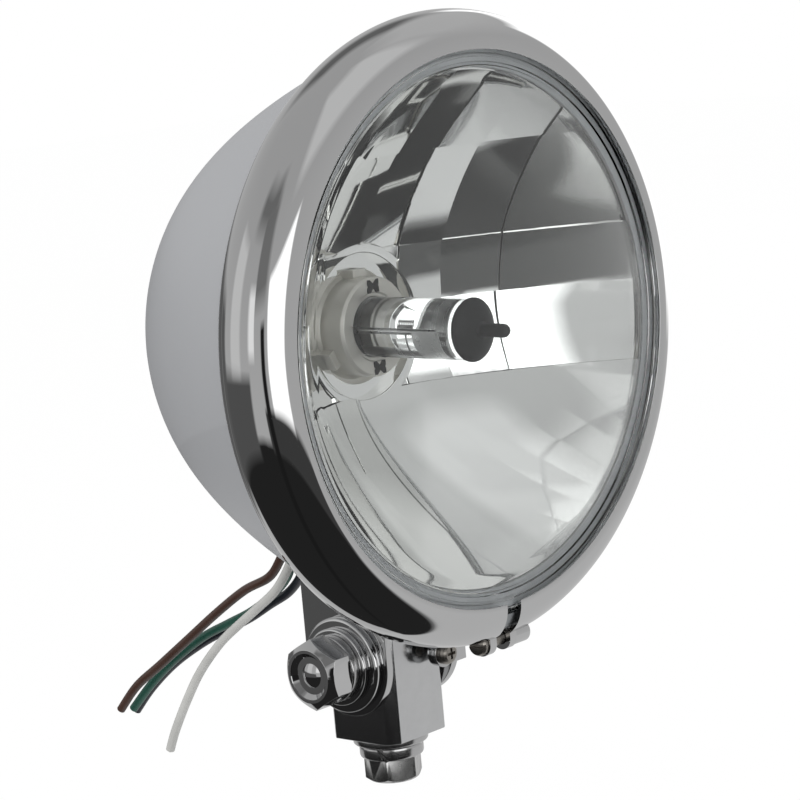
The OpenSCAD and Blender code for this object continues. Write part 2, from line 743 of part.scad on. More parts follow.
// Rubber boot from the neck to the insulator
module bulb_boot() {
    grip = neck_r + neck_wall + seat;
    tip = insulator_d / 2 + seat;
    mouth = bulb_back - boot_grip;
    last = insulator_end - edge;
    b = boot_wall;
    color([0.06, 0.06, 0.065]) on_axis() rotate_extrude() polygon([[grip, mouth], [grip + b, mouth],
        [grip + b, neck_back + b], [tip + b + 1, last - 2], [tip + b, last], [tip, last],
        [tip, last - 2.4], [grip, neck_back + seat]]);
}

// Moulded connector pushed over the blades
module connector() {
    w = connector_w;
    color([0.08, 0.08, 0.09]) on_axis() difference() {
        intersection() {
            translate([-w / 2, -w / 2 + 1, connector_front]) cube([w, w - 4, connector_l]);
            translate([0, 0, connector_front]) cylinder(h = connector_l, r = w / 2 + 2);
        }
        for (a = [0, 180, 270]) blade_space(a, seat);
        for (a = [0, 180, 270]) rotate([0, 0, a])
            translate([blade_off, 0, connector_front + connector_l - wire_bore])
                cylinder(h = wire_bore + 2, d = lead_d + 2 * seat);
    }
}

module brown_lead() {
    color([0.35, 0.17, 0.1])
        lead_tube(concat(lead_start(-lead_pitch / 2, -lead_pitch / 2), brown_route), lead_d);
}

module green_lead() {
    color([0.05, 0.35, 0.25])
        lead_tube(concat(lead_start(lead_pitch / 2, -lead_pitch / 2), green_route), lead_d);
}

module blue_lead() {
    color([0.07, 0.08, 0.15])
        lead_tube(concat(lead_start(lead_pitch / 2, lead_pitch / 2), blue_route), lead_d);
}

module white_lead() {
    color([0.9, 0.9, 0.88])
        lead_tube(concat(lead_start(-lead_pitch / 2, lead_pitch / 2), white_route), lead_d);
}

// Square block that the bracket turns on, tapped for the mounting bolt from below
module swivel_block() {
    w = block_w / 2;
    c = block_chamfer;
    color([0.72, 0.73, 0.75]) difference() {
        linear_extrude(height = block_h) polygon([[-w + c, -w], [w - c, -w], [w, -w + c], [w, w - c],
            [w - c, w], [-w + c, w], [-w, w - c], [-w, -w + c]]);
        translate([0, 0, pivot_height]) along_x(-far, far, pivot_r + pivot_clear);
        translate([0, 0, -1]) cylinder(h = mount_reach + 2, d = mount_d + 2 * seat);
        for (side = [-1, 1]) translate([-far / 2, side * w, block_h]) rotate([45, 0, 0])
            cube([far, c * 1.2, c * 1.2]);
    }
}

// Cross bolt, its head on the right and its domed end in the nut
module pivot_bolt() {
    head_in = ear_out + flat_t;
    end_x = -nut_out + bolt_end_in;
    color([0.66, 0.67, 0.68]) translate([0, 0, pivot_height]) {
        along_x(end_x + bolt_dome, head_in + 1, pivot_r);
        translate([end_x + bolt_dome, 0, 0]) rotate([0, -90, 0])
            rotate_extrude() polygon(concat([[0, 0]], reverse(dome_points(pivot_r, bolt_dome))));
        translate([head_in + seat, 0, 0]) rotate([0, 90, 0]) hex_body(nut_af, pivot_head_t, 0.4, 1.6);
    }
}

// Hex nut with a recess round the bolt's end
module pivot_nut() {
    color([0.75, 0.76, 0.77]) translate([-nut_in - seat, 0, pivot_height]) rotate([0, -90, 0])
        difference() {
            hex_body(nut_af, nut_t - seat, 1.4, 2.6);
            translate([0, 0, -1]) cylinder(h = nut_t + 2, r = pivot_r + seat);
            translate([0, 0, nut_t - 1.4]) cylinder(h = 3, r = pivot_r + 1.4);
        }
}

module pivot_spring_washer() {
    color([0.55, 0.56, 0.57]) translate([-nut_in + spring_t, 0, pivot_height]) rotate([0, -90, 0])
        split_washer(spring_od, pivot_d + 2 * hole_clear, spring_t - seat);
}

module pivot_flat_washer() {
    color([0.72, 0.73, 0.74]) translate([-ear_out - wide_t - seat, 0, pivot_height]) rotate([0, -90, 0])
        washer(flat_od, pivot_d + 2 * hole_clear, flat_t - seat);
}

module pivot_wide_washer() {
    color([0.6, 0.61, 0.62]) translate([-ear_out - seat, 0, pivot_height]) rotate([0, -90, 0])
        washer(wide_od, pivot_d + 2 * hole_clear, wide_t - seat);
}

module pivot_head_washer() {
    color([0.72, 0.73, 0.74]) translate([ear_out + seat, 0, pivot_height]) rotate([0, 90, 0])
        washer(flat_od, pivot_d + 2 * hole_clear, flat_t - seat);
}

// Hex bolt screwed up into the block
module mounting_bolt() {
    color([0.62, 0.63, 0.64]) {
        translate([0, 0, mount_head_top]) mirror([0, 0, 1])
            hex_body(mount_head_af, mount_head_t, 0.4, 1.5);
        translate([0, 0, mount_head_top - 1])
            cylinder(h = mount_reach - mount_head_top + 1, d = mount_d);
    }
}

module mounting_spring_washer() {
    color([0.55, 0.56, 0.57]) translate([0, 0, mount_head_top + seat])
        split_washer(mount_spring_od, mount_d + 2 * hole_clear, mount_spring_t - 2 * seat);
}

module mounting_flat_washer() {
    color([0.72, 0.73, 0.74]) translate([0, 0, -mount_flat_t])
        washer(mount_flat_od, mount_d + 2 * hole_clear, mount_flat_t - seat);
}

// Pan head screw that faces forward in the folded tab
module tab_screw() {
    reach = tab_t + tab_washer_t + seat;
    color([0.5, 0.5, 0.48]) translate([tab_x, -tab_gap - reach, pivot_height]) rotate([90, 0, 0]) {
        cross_head(tab_head_d, tab_head_t);
        translate([0, 0, -reach]) cylinder(h = reach + tab_head_t / 4, d = tab_screw_d);
    }
}

module tab_screw_washer() {
    color([0.7, 0.7, 0.68]) translate([tab_x, -tab_gap - tab_t - seat, pivot_height]) rotate([90, 0, 0])
        washer(tab_washer_d, tab_screw_d + 2 * hole_clear, tab_washer_t - seat);
}

shell();
bracket();
grommet();
trim_ring();
ring_tongue();
ring_screw();
ring_nut();
lens();
lens_seal();
reflector();
bulb_flange();
bulb_envelope();
bulb_tip();
filament_frame();
low_filament();
high_filament();
bulb_insulator();
top_blade();
left_blade();
right_blade();
bulb_clip();
bulb_boot();
connector();
brown_lead();
green_lead();
blue_lead();
white_lead();
swivel_block();
pivot_bolt();
pivot_nut();
pivot_spring_washer();
pivot_flat_washer();
pivot_wide_washer();
pivot_head_washer();
mounting_bolt();
mounting_spring_washer();
mounting_flat_washer();
tab_screw();
tab_screw_washer();
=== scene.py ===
"""Round motorcycle headlight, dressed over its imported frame.

Every size is in metres and every piece lies in the frame's own axes: the lamp faces -Y, Z is up,
X points right, and the origin is the middle of the swivel block's underside.
"""
import logging
import math
from dataclasses import dataclass
from enum import Enum
from typing import Callable, Sequence

import bpy
from mathutils import Matrix, Vector


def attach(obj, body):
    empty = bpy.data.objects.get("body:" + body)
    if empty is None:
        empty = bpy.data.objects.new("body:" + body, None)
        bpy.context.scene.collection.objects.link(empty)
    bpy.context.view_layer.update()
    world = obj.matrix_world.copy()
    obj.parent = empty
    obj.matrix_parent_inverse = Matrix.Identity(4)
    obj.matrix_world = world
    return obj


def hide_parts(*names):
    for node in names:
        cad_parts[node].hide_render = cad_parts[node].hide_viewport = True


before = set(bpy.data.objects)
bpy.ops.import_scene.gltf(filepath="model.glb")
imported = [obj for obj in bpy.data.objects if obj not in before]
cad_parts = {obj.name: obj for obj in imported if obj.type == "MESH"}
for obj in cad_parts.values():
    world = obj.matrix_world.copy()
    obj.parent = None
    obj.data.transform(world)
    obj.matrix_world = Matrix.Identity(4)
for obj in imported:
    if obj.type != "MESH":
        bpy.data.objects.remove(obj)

log = logging.getLogger("headlight")
Point = tuple[float, float]
Place = tuple[float, float, float]
Thing = bpy.types.Object
MM = 0.001
SEAT = 0.05 * MM  # Gap between pieces that bear on each other.
PLAY = 0.2 * MM  # Clearance round a bolt or a head.
ROUND = 0.3 * MM  # Usual rounding of a turned edge.
OVER = 1 * MM  # How far a cut starts outside its piece.
THROUGH = 50 * MM  # Half length of a cut that goes right through.
WHITE = (1.0, 1.0, 1.0, 1.0)
EVEN = (1.0, 1.0, 1.0)
ORIGIN = (0.0, 0.0, 0.0)
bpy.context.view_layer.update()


class Axis(Enum):
    """The line that a turned piece is spun about."""

    LAMP = "lamp"
    PIVOT = "pivot"
    UPRIGHT = "upright"
    TAB = "tab"


class Cut(Enum):
    """How one solid acts on another."""

    AWAY = "DIFFERENCE"
    COMMON = "INTERSECT"
    JOIN = "UNION"


class Body(Enum):
    """The two bodies of the frame."""

    BASE = "base"
    HEAD = "head"


def sum_method(operation: str, swapped: bool = False) -> Callable[["Value", object], "Value"]:
    """Makes the method of one Python operator.

    Args:
        operation: The Math node's operation.
        swapped: Whether the other value comes first.

    Returns:
        The method.
    """
    def method(self: "Value", other: object) -> "Value":
        """Adds the operator's Math node."""
        return self.math(operation, *((other, self) if swapped else (self, other)))
    return method


class Value:
    """A shader socket whose sums are written as Python expressions."""

    def __init__(self, bench: "Bench", socket: bpy.types.NodeSocket) -> None:
        """Keeps the socket and the bench that it lies on."""
        self.bench = bench
        self.socket = socket

    def math(self, operation: str, first: object, second: object) -> "Value":
        """Adds one Math node.

        Args:
            operation: The Math node's operation.
            first: Its first value or socket.
            second: Its second value or socket.

        Returns:
            The result as a Value.
        """
        return self.bench.add("ShaderNodeMath", {"operation": operation}, {0: first, 1: second})[0]

    __add__ = __radd__ = sum_method("ADD")
    __mul__ = __rmul__ = sum_method("MULTIPLY")
    __sub__ = sum_method("SUBTRACT")
    __rsub__ = sum_method("SUBTRACT", swapped=True)
    __truediv__ = sum_method("DIVIDE")
    __pow__ = sum_method("POWER")

    def angle_from(self, other: object) -> "Value":
        """Angle in degrees of the direction (other, self)."""
        return self.math("ARCTAN2", self, other) * math.degrees(1.0)

    def within(self, low: float, high: float, soft: float) -> "Value":
        """1 between low and high, falling to 0 over soft."""
        return (((self - low) / soft + 0.5).clamped() * ((high - self) / soft + 0.5).clamped())

    def clamped(self) -> "Value":
        """self held between 0 and 1."""
        return self.math("MINIMUM", self.math("MAXIMUM", self, 0.0), 1.0)


class Bench:
    """One material or world being wired."""

    def __init__(self, tree: bpy.types.NodeTree) -> None:
        """Clears the tree and keeps it."""
        self.tree = tree
        tree.nodes.clear()

    def add(self, kind: str, settings: dict | None = None,
            sockets: dict | None = None) -> list[Value]:
        """Adds one node.

        Args:
            kind: The node's type.
            settings: Its own settings, set first.
            sockets: Values or links, by socket name or number.

        Returns:
            The node's outputs as Values.
        """
        node = self.tree.nodes.new(kind)
        for name, setting in (settings or {}).items():
            setattr(node, name, setting)
        for name, value in (sockets or {}).items():
            target = node.inputs[name]
            if isinstance(value, Value):
                self.tree.links.new(value.socket, target)
            else:
                target.default_value = value
        return [Value(self, out) for out in node.outputs]

    def spot(self, stretch: Place = EVEN) -> Value:
        """Object coordinates, stretched along each axis."""
        where = self.add("ShaderNodeTexCoord")[3]
        return self.add("ShaderNodeMapping", {}, {"Vector": where, "Scale": stretch})[0]

    def noise(self, scale: float, detail: float = 3.0, stretch: Place = EVEN) -> Value:
        """A cloudy pattern from 0 to 1.

        Args:
            scale: Waves per metre.
            detail: Octaves.
            stretch: Stretch along X, Y and Z.

        Returns:
            The pattern's value.
        """
        return self.add("ShaderNodeTexNoise", {}, {"Vector": self.spot(stretch), "Scale": scale,
                                                   "Detail": detail, "Roughness": 0.5})[0]

    def tint(self, factor: Value, low: tuple, high: tuple) -> Value:
        """A colour between low and high."""
        return self.add("ShaderNodeMix", {"data_type": "RGBA"},
                        {0: factor, 6: (*low, 1.0), 7: (*high, 1.0)})[2]

    def surface(self, tone: Value, rough: Value, height: Value, distance: float,
                **more: object) -> Value:
        """Adds a Principled shader.

        Args:
            tone: Its base colour.
            rough: Its roughness.
            height: Height of its relief.
            distance: Depth of the relief in metres.
            more: Further sockets, with an underscore for each space in a name.

        Returns:
            The shader.
        """
        sockets = {name.replace("_", " "): value for name, value in more.items()}
        normal = self.add("ShaderNodeBump", {}, {"Height": height, "Distance": distance})[0]
        return self.add("ShaderNodeBsdfPrincipled", {}, {
            "Base Color": tone, "Roughness": rough, "Normal": normal, **sockets})[0]

    def out(self, shader: Value, kind: str = "ShaderNodeOutputMaterial") -> None:
        """Joins the shader to the output."""
        self.add(kind, {}, {"Surface": shader})


@dataclass(frozen=True)
class Finish:
    """A surface finish that is wired as a material once."""

    name: str

    def wire(self, bench: Bench) -> Value:
        """Wires the finish and returns its shader."""
        raise NotImplementedError

    def material(self) -> bpy.types.Material:
        """Returns the finish's material, made on first use."""
        found = bpy.data.materials.get(self.name)
        if found:
            return found
        made = bpy.data.materials.new(self.name)
        made.use_nodes = True
        bench = Bench(made.node_tree)
        bench.out(self.wire(bench))
        return made


@dataclass(frozen=True)
class Chrome(Finish):
    """Polished plating with a faint haze and the ripple of pressed sheet."""

    shade: float
    haze: float
    ripple: float
    ripple_scale: float

    def wire(self, bench: Bench) -> Value:
        """Wires a mirror metal with clouded roughness."""
        cloud = bench.noise(38.0, 4.0)
        grime = bench.noise(420.0, 5.0)
        ripple = bench.noise(self.ripple_scale, 2.0)
        s = self.shade
        tone = bench.tint(cloud * 0.7 + grime * 0.3, (s * 0.955, s * 0.96, s * 0.965),
                          (s, s, s * 0.998))
        rough = cloud * self.haze * 0.8 + (grime ** 2.0) * self.haze + self.haze * 0.25
        return bench.surface(tone, rough, ripple, self.ripple, Metallic=1.0)


@dataclass(frozen=True)
class Satin(Finish):
    """Evenly hazed plating of the bowl, which shows no sharp reflections."""

    shade: float = 0.47
    metal: float = 0.22
    rough: float = 0.42

    def wire(self, bench: Bench) -> Value:
        """Wires a soft metal with fine grain and faint cloudy haze."""
        cloud = bench.noise(30.0, 4.0)
        grain = bench.noise(1700.0, 2.0)
        s = self.shade
        tone = bench.tint(cloud * 0.5 + grain * 0.5, (s * 0.93, s * 0.945, s * 0.98),
                          (s * 1.02, s * 1.04, s * 1.08))
        rough = cloud * 0.08 + grain * 0.06 + (self.rough - 0.07)
        return bench.surface(tone, rough, grain, 3e-6, Metallic=self.metal)


@dataclass(frozen=True)
class Plate(Finish):
    """Plain bright plating on small hardware, with fine turning or rolling marks."""

    colour: Place
    rough: float
    mark: float
    metal: float = 1.0
    stretch: Place = EVEN

    def wire(self, bench: Bench) -> Value:
        """Wires a satin metal with lengthwise marks and dull spots."""
        lines = bench.noise(900.0, 3.0, self.stretch)
        spots = bench.noise(260.0, 5.0)
        c = self.colour
        tone = bench.tint(spots, tuple(v * 0.90 for v in c), c)
        rough = lines * 0.04 + spots * 0.05 + (self.rough - 0.045)
        return bench.surface(tone, rough.clamped(), lines, self.mark, Metallic=self.metal)


@dataclass(frozen=True)
class MirrorCoat(Finish):
    """Bright metal coat of the reflector."""

    shade: float = 0.95

    def wire(self, bench: Bench) -> Value:
        """Wires a clean mirror with a slight waviness."""
        cloud = bench.noise(55.0, 3.0)
        s = self.shade
        tone = bench.tint(cloud, (s * 0.975, s * 0.975, s * 0.96), (s, s, s * 0.985))
        return bench.surface(tone, cloud * 0.03 + 0.02, cloud, 7e-6, Metallic=1.0)


@dataclass(frozen=True)
class ClearGlass(Finish):
    """Clear glass with a trace of colour and soft handling marks."""

    tint_to: Place = (0.97, 0.985, 0.985)
    ior: float = 1.46

    def wire(self, bench: Bench) -> Value:
        """Wires a transmitting dielectric with faint smears."""
        smear = bench.noise(70.0, 4.0)
        t = self.tint_to
        tone = bench.tint(smear, tuple(v * 0.992 for v in t), t)
        return bench.surface(tone, (smear ** 3.0) * 0.03, smear, 8e-6, Transmission_Weight=1.0,
                             IOR=self.ior)


@dataclass(frozen=True)
class Moulding(Finish):
    """Moulded plastic, rubber, ceramic or matt coat with a fine grain."""

    colour: Place
    rough: float
    grain: float
    height: float
    mottle: float

    def wire(self, bench: Bench) -> Value:
        """Wires a matt dielectric with grain and light mottling."""
        cloud = bench.noise(120.0, 4.0)
        grain = bench.noise(self.grain, 3.0)
        c = self.colour
        tone = bench.tint(cloud, tuple(v * (1.0 - self.mottle) for v in c),
                          tuple(min(1.0, v * (1.0 + self.mottle) + 0.004) for v in c))
        rough = cloud * 0.15 + grain * 0.08 + (self.rough - 0.11)
        return bench.surface(tone, rough.clamped(), grain, self.height)


@dataclass(frozen=True)
class Jacket(Finish):
    """Soft insulation of a lead, slightly glossy, with rubbed stretches."""

    colour: Place

    def wire(self, bench: Bench) -> Value:
        """Wires a soft plastic that is paler where it is rubbed."""
        rub = bench.noise(90.0, 5.0)
        fine = bench.noise(1400.0, 2.0)
        c = self.colour
        tone = bench.tint(rub, tuple(v * 0.8 for v in c),
                          tuple(min(1.0, v * 1.15 + 0.012) for v in c))
        return bench.surface(tone, rub * 0.2 + 0.28, fine, 1.5e-5, Coat_Weight=rub * 0.25)


SHELL_SATIN = Satin("shell_satin")
RING_CHROME = Chrome("ring_chrome", 0.63, 0.03, 4e-6, 55.0)
BRACKET_CHROME = Chrome("bracket_chrome", 0.60, 0.06, 6e-6, 90.0)
NUT_CHROME = Chrome("nut_chrome", 0.64, 0.05, 4e-6, 220.0)
WASHER_CHROME = Chrome("washer_chrome", 0.62, 0.06, 4e-6, 260.0)
BLOCK_SATIN = Plate("block_satin", (0.66, 0.665, 0.67), 0.16, 5e-7, stretch=(1.0, 1.0, 0.06))
BOLT_BRIGHT = Plate("bolt_bright", (0.60, 0.60, 0.595), 0.26, 1e-5)
SPRING_BRIGHT = Plate("spring_bright", (0.58, 0.58, 0.58), 0.2, 1.4e-5)
SCREW_DULL = Plate("screw_dull", (0.36, 0.34, 0.31), 0.34, 1.6e-5)
TONGUE_DULL = Plate("tongue_dull", (0.34, 0.36, 0.37), 0.32, 1e-5)
FLANGE_CREAM = Plate("flange_cream", (0.86, 0.84, 0.78), 0.32, 5e-6, 0.4)
WIRE_STEEL = Plate("wire_steel", (0.52, 0.52, 0.52), 0.28, 8e-6)
TUNGSTEN = Plate("tungsten", (0.34, 0.33, 0.32), 0.36, 8e-6)
BLADE_BRASS = Plate("blade_brass", (0.72, 0.58, 0.30), 0.3, 8e-6)
COPPER = Plate("bare_copper", (0.80, 0.45, 0.30), 0.32, 2e-5)
# Painted shade: black standing in for the shade inside the bulb plate's slots, which are thin solid
# pieces, not openings.
SLOT_PAINTED_SHADE = Moulding("slot_painted_shade", (0.012, 0.012, 0.012), 0.5, 1500.0, 5e-6, 0.2)
MIRROR = MirrorCoat("reflector_mirror")
LENS_GLASS = ClearGlass("lens_glass")
QUARTZ = ClearGlass("bulb_quartz", (0.985, 0.99, 0.99))
BLACK_COAT = Moulding("tip_coat", (0.012, 0.012, 0.013), 0.62, 1800.0, 1e-5, 0.3)
SEAL_GREY = Moulding("seal_bead", (0.80, 0.82, 0.84), 0.4, 700.0, 1.5e-5, 0.08)
BOOT_RUBBER = Moulding("boot_rubber", (0.022, 0.022, 0.024), 0.66, 900.0, 2.5e-5, 0.3)
GROMMET_RUBBER = Moulding("grommet_rubber", (0.025, 0.025, 0.026), 0.6, 1100.0, 2e-5, 0.3)
CONNECTOR_PLASTIC = Moulding("connector_plastic", (0.03, 0.03, 0.033), 0.45, 2000.0, 1e-5, 0.2)
CERAMIC = Moulding("insulator_cream", (0.72, 0.68, 0.56), 0.5, 1500.0, 1e-5, 0.1)
BROWN_JACKET = Jacket("brown_jacket", (0.062, 0.026, 0.016))
GREEN_JACKET = Jacket("green_jacket", (0.010, 0.095, 0.065))
BLUE_JACKET = Jacket("blue_jacket", (0.006, 0.009, 0.022))
WHITE_JACKET = Jacket("white_jacket", (0.56, 0.56, 0.54))


def arc(a: Point, b: Point, rise: float, inset: float, steps: int) -> list[Point]:
    """Points of an arc from a to b.

    Args:
        a: First end, as radius and depth.
        b: Last end.
        rise: Rise over the chord, to the side of larger radius and smaller depth.
        inset: Distance that the arc is moved inward.
        steps: Number of spans.

    Returns:
        The points, both ends among them.
    """
    va, vb = Vector(a), Vector(b)
    chord = vb - va
    d = chord.normalized()
    m = Vector((d.y, -d.x))
    c = chord.length
    r = (c * c / 4 + rise * rise) / (2 * rise)
    half = math.asin(c / 2 / r)
    o = (va + vb) / 2 - m * (r - rise)
    turns = [half * (2 * i / steps - 1) for i in range(steps + 1)]
    return [tuple(o + (r - inset) * (math.cos(w) * m + math.sin(w) * d)) for w in turns]


def rounded(points: Sequence[Point], radius: float, steps: int = 4) -> list[Point]:
    """Rounds the corners of a closed outline that turn by more than 25 degrees.

    Args:
        points: The outline.
        radius: Largest radius of a corner.
        steps: Spans in each round.

    Returns:
        The rounded outline.
    """
    found: list[Point] = []
    n = len(points)
    for i in range(n):
        a, b, c = (Vector(points[(i + k) % n]) for k in (-1, 0, 1))
        u, v = a - b, c - b
        if u.length < 1e-9 or v.length < 1e-9:
            continue
        angle = u.angle(v)
        if angle > math.radians(155) or b.x < 1e-7:
            found.append((b.x, b.y))
            continue
        run = min(radius / math.tan(angle / 2), u.length * 0.45, v.length * 0.45)
        p, q = b + u.normalized() * run, b + v.normalized() * run
        for k in range(steps + 1):
            t = k / steps
            w = p.lerp(b, t).lerp(b.lerp(q, t), t)
            found.append((w.x, w.y))
    return found


def oblong(low_r: float, high_r: float, low: float, high: float) -> list[Point]:
    """Outline of a flat ring between two radii and two distances along its axis."""
    return [(low_r, low), (high_r, low), (high_r, high), (low_r, high)]


def screw_line(head: Sequence[Point], size: Point, shank: Point, low: float = 0.0) -> list[Point]:
    """Outline of a screw.

    Args:
        head: Points of the head, as shares of its radius and height.
        size: Radius and height of the head.
        shank: Radius and length of the shank.
        low: Where the head seats along the axis.

    Returns:
        The outline, from the top of the head to the end of the shank.
    """
    line = [(a * size[0], low + b * size[1]) for a, b in head]
    return line + [(size[0], low), (shank[0], low), (shank[0], low - shank[1]), (0, low - shank[1])]


@dataclass
class Workshop:
    """Edit-mode steps that the pieces are made with."""

    forward: float = 48 * MM
    height: float = 111.5 * MM
    pivot_height: float = 22.5 * MM

    def basis(self, axis: Axis, shift: Place = ORIGIN) -> tuple[Vector, Vector, Vector]:
        """Where an axis lies.

        Args:
            axis: The axis.
            shift: A further shift of its start.

        Returns:
            Its start, its own direction, and the direction that a radius is drawn along.
        """
        known = {
            Axis.LAMP: ((0, -self.forward, self.height), (0, 1, 0), (0, 0, -1)),
            Axis.PIVOT: ((0, 0, self.pivot_height), (-1, 0, 0), (0, 0, 1)),
            Axis.UPRIGHT: ((0, 0, 0), (0, 0, 1), (1, 0, 0)),
            Axis.TAB: ((0, 0, self.pivot_height), (0, -1, 0), (1, 0, 0)),
        }
        start, along, out = (Vector(v) for v in known[axis])
        return start + Vector(shift), along, out

    @staticmethod
    def mode(name: str) -> None:
        """Switches between object and edit mode."""
        bpy.ops.object.mode_set(mode=name)

    @staticmethod
    def whole() -> None:
        """Selects all of the edited mesh."""
        bpy.ops.mesh.select_all(action="SELECT")

    def clear(self) -> None:
        """Leaves edit mode and deselects everything."""
        if bpy.context.object and bpy.context.object.mode != "OBJECT":
            self.mode("OBJECT")
        bpy.ops.object.select_all(action="DESELECT")

    def pick(self, *pieces: Thing) -> None:
        """Makes the given objects the only selected ones, and the first the active one."""
        self.clear()
        for piece in pieces:
            piece.select_set(True)
        bpy.context.view_layer.objects.active = pieces[0]

    @staticmethod
    def added(name: str, data: bpy.types.ID) -> Thing:
        """Puts a new object with the given data into the scene."""
        piece = bpy.data.objects.new(name, data)
        bpy.context.scene.collection.objects.link(piece)
        return piece

    @staticmethod
    def named(name: str) -> Thing:
        """Names the active object and its mesh, and returns it."""
        piece = bpy.context.object
        piece.name = name
        piece.data.name = name
        return piece

    @staticmethod
    def applied(piece: Thing) -> Thing:
        """Moves a picked piece's place, turn and scale into its mesh."""
        bpy.ops.object.transform_apply(location=True, rotation=True, scale=True)
        return piece

    def weld(self, gap: float) -> None:
        """Merges the points of the edited mesh that are closer than gap, and selects all."""
        self.whole()
        bpy.ops.mesh.remove_doubles(threshold=gap)
        self.whole()

    def settle(self, piece: Thing, angle: float = 32.0) -> Thing:
        """Applies the place of a piece and shades it smooth up to an angle."""
        self.pick(piece)
        self.applied(piece)
        bpy.ops.object.shade_smooth_by_angle(angle=math.radians(angle))
        return piece

    def swept(self, name: str, places: Sequence[Vector], start: Vector, along: Vector,
              steps: int) -> Thing:
        """Spins a line of places about an axis, and stays in edit mode.

        Args:
            name: Name of the piece.
            places: The line's places.
            start: A point of the axis.
            along: The axis's direction.
            steps: Spans round the axis.

        Returns:
            The piece that is being edited.
        """
        self.clear()
        bpy.ops.mesh.primitive_plane_add(size=1 * MM, location=places[0])
        piece = self.named(name)
        self.mode("EDIT")
        bpy.ops.mesh.select_mode(type="VERT")
        self.whole()
        bpy.ops.mesh.merge(type="CENTER")
        for a, b in zip(places, places[1:]):
            bpy.ops.mesh.extrude_region_move(TRANSFORM_OT_translate={"value": b - a})
        self.weld(1e-7)
        bpy.ops.mesh.spin(steps=steps, angle=2 * math.pi, use_auto_merge=True, center=start,
                          axis=along)
        return piece

    def turned(self, name: str, points: Sequence[Point], axis: Axis = Axis.LAMP,
               shift: Place = ORIGIN, steps: int = 128,
               frame3: tuple[Vector, Vector, Vector] | None = None) -> Thing:
        """Spins a closed outline about an axis.

        Args:
            name: Name of the piece.
            points: The outline, as radius and distance along the axis.
            axis: The axis.
            shift: A further shift of the axis.
            steps: Spans round the axis.
            frame3: Start, direction and radius direction in place of a named axis.

        Returns:
            The turned piece, a closed mesh.
        """
        start, along, out = frame3 or self.basis(axis, shift)
        places = [start + out * r + along * h for r, h in points]
        piece = self.swept(name, places + places[:1], start, along, steps)
        self.weld(2e-6)
        bpy.ops.mesh.dissolve_degenerate(threshold=1e-7)
        self.whole()
        bpy.ops.mesh.normals_make_consistent(inside=False)
        self.mode("OBJECT")
        return self.settle(piece)

    def block(self, name: str, low: Place, high: Place) -> Thing:
        """A box from its lowest to its highest corner, to be cut or shaped further."""
        self.clear()
        middle = [(a + b) / 2 for a, b in zip(low, high)]
        bpy.ops.mesh.primitive_cube_add(size=1.0, location=middle)
        piece = self.named(name)
        piece.scale = [b - a for a, b in zip(low, high)]
        return self.applied(piece)

    def rod(self, name: str, start: Place, end: Place, radius: float, sides: int = 64) -> Thing:
        """A round bar from start to end, to be cut or shaped further."""
        a, b = Vector(start), Vector(end)
        self.clear()
        bpy.ops.mesh.primitive_cylinder_add(vertices=sides, radius=radius, depth=(b - a).length,
                                            location=(a + b) / 2,
                                            rotation=(b - a).to_track_quat("Z", "Y").to_euler())
        return self.applied(self.named(name))

    def tube(self, name: str, path: Sequence[Vector], radius: float, resolution: int = 5) -> Thing:
        """A smooth closed tube along a path."""
        curve = bpy.data.curves.new(name, "CURVE")
        curve.dimensions = "3D"
        curve.bevel_depth = radius
        curve.bevel_resolution = resolution
        curve.use_fill_caps = True
        line = curve.splines.new("POLY")
        line.points.add(len(path) - 1)
        for target, p in zip(line.points, path):
            target.co = (*p, 1.0)
        self.pick(self.added(name, curve))
        bpy.ops.object.convert(target="MESH")
        piece = bpy.context.object
        self.mode("EDIT")
        self.weld(1e-6)
        bpy.ops.mesh.normals_make_consistent(inside=False)
        self.mode("OBJECT")
        return self.settle(piece, 50.0)

    def worked(self, piece: Thing, kind: str, **settings: object) -> Thing:
        """Applies one modifier of the given kind, with its settings, to a piece."""
        self.pick(piece)
        modifier = piece.modifiers.new("work", kind)
        for setting, value in settings.items():
            setattr(modifier, setting, value)
        bpy.ops.object.modifier_apply(modifier=modifier.name)
        return piece

    def merge(self, piece: Thing, tool: Thing, how: Cut = Cut.AWAY) -> Thing:
        """Cuts, joins or trims a piece with a tool, which is used up."""
        self.worked(piece, "BOOLEAN", operation=how.value, solver="EXACT", object=tool)
        bpy.data.objects.remove(tool, do_unlink=True)
        return piece

    def mill(self, piece: Thing, low: Place, high: Place, how: Cut = Cut.AWAY) -> None:
        """Cuts a box out of a piece, or joins it on."""
        self.merge(piece, self.block("tool", low, high), how)

    def drill(self, piece: Thing, start: Place, end: Place, radius: float, sides: int = 96) -> None:
        """Cuts a round bar out of a piece."""
        self.merge(piece, self.rod("tool", start, end, radius, sides))

    def soften(self, piece: Thing, width: float, segments: int, angle: float) -> Thing:
        """Rounds the sharp edges of a piece."""
        self.worked(piece, "BEVEL", width=width, segments=segments, limit_method="ANGLE",
                    angle_limit=math.radians(angle), use_clamp_overlap=True)
        return self.settle(piece, 40.0)

    def joined(self, parts: Sequence[Thing]) -> Thing:
        """Joins several pieces into the first one as they are."""
        self.pick(*parts)
        bpy.ops.object.join()
        return bpy.context.object

    def copied(self, node: str, name: str) -> Thing:
        """A merged copy of a CAD node, ready to be softened."""
        piece = self.added(name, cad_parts[node].data.copy())
        piece.data.materials.clear()
        self.pick(piece)
        self.mode("EDIT")
        self.weld(1e-6)
        bpy.ops.mesh.dissolve_limited(angle_limit=math.radians(0.4))
        self.mode("OBJECT")
        return piece

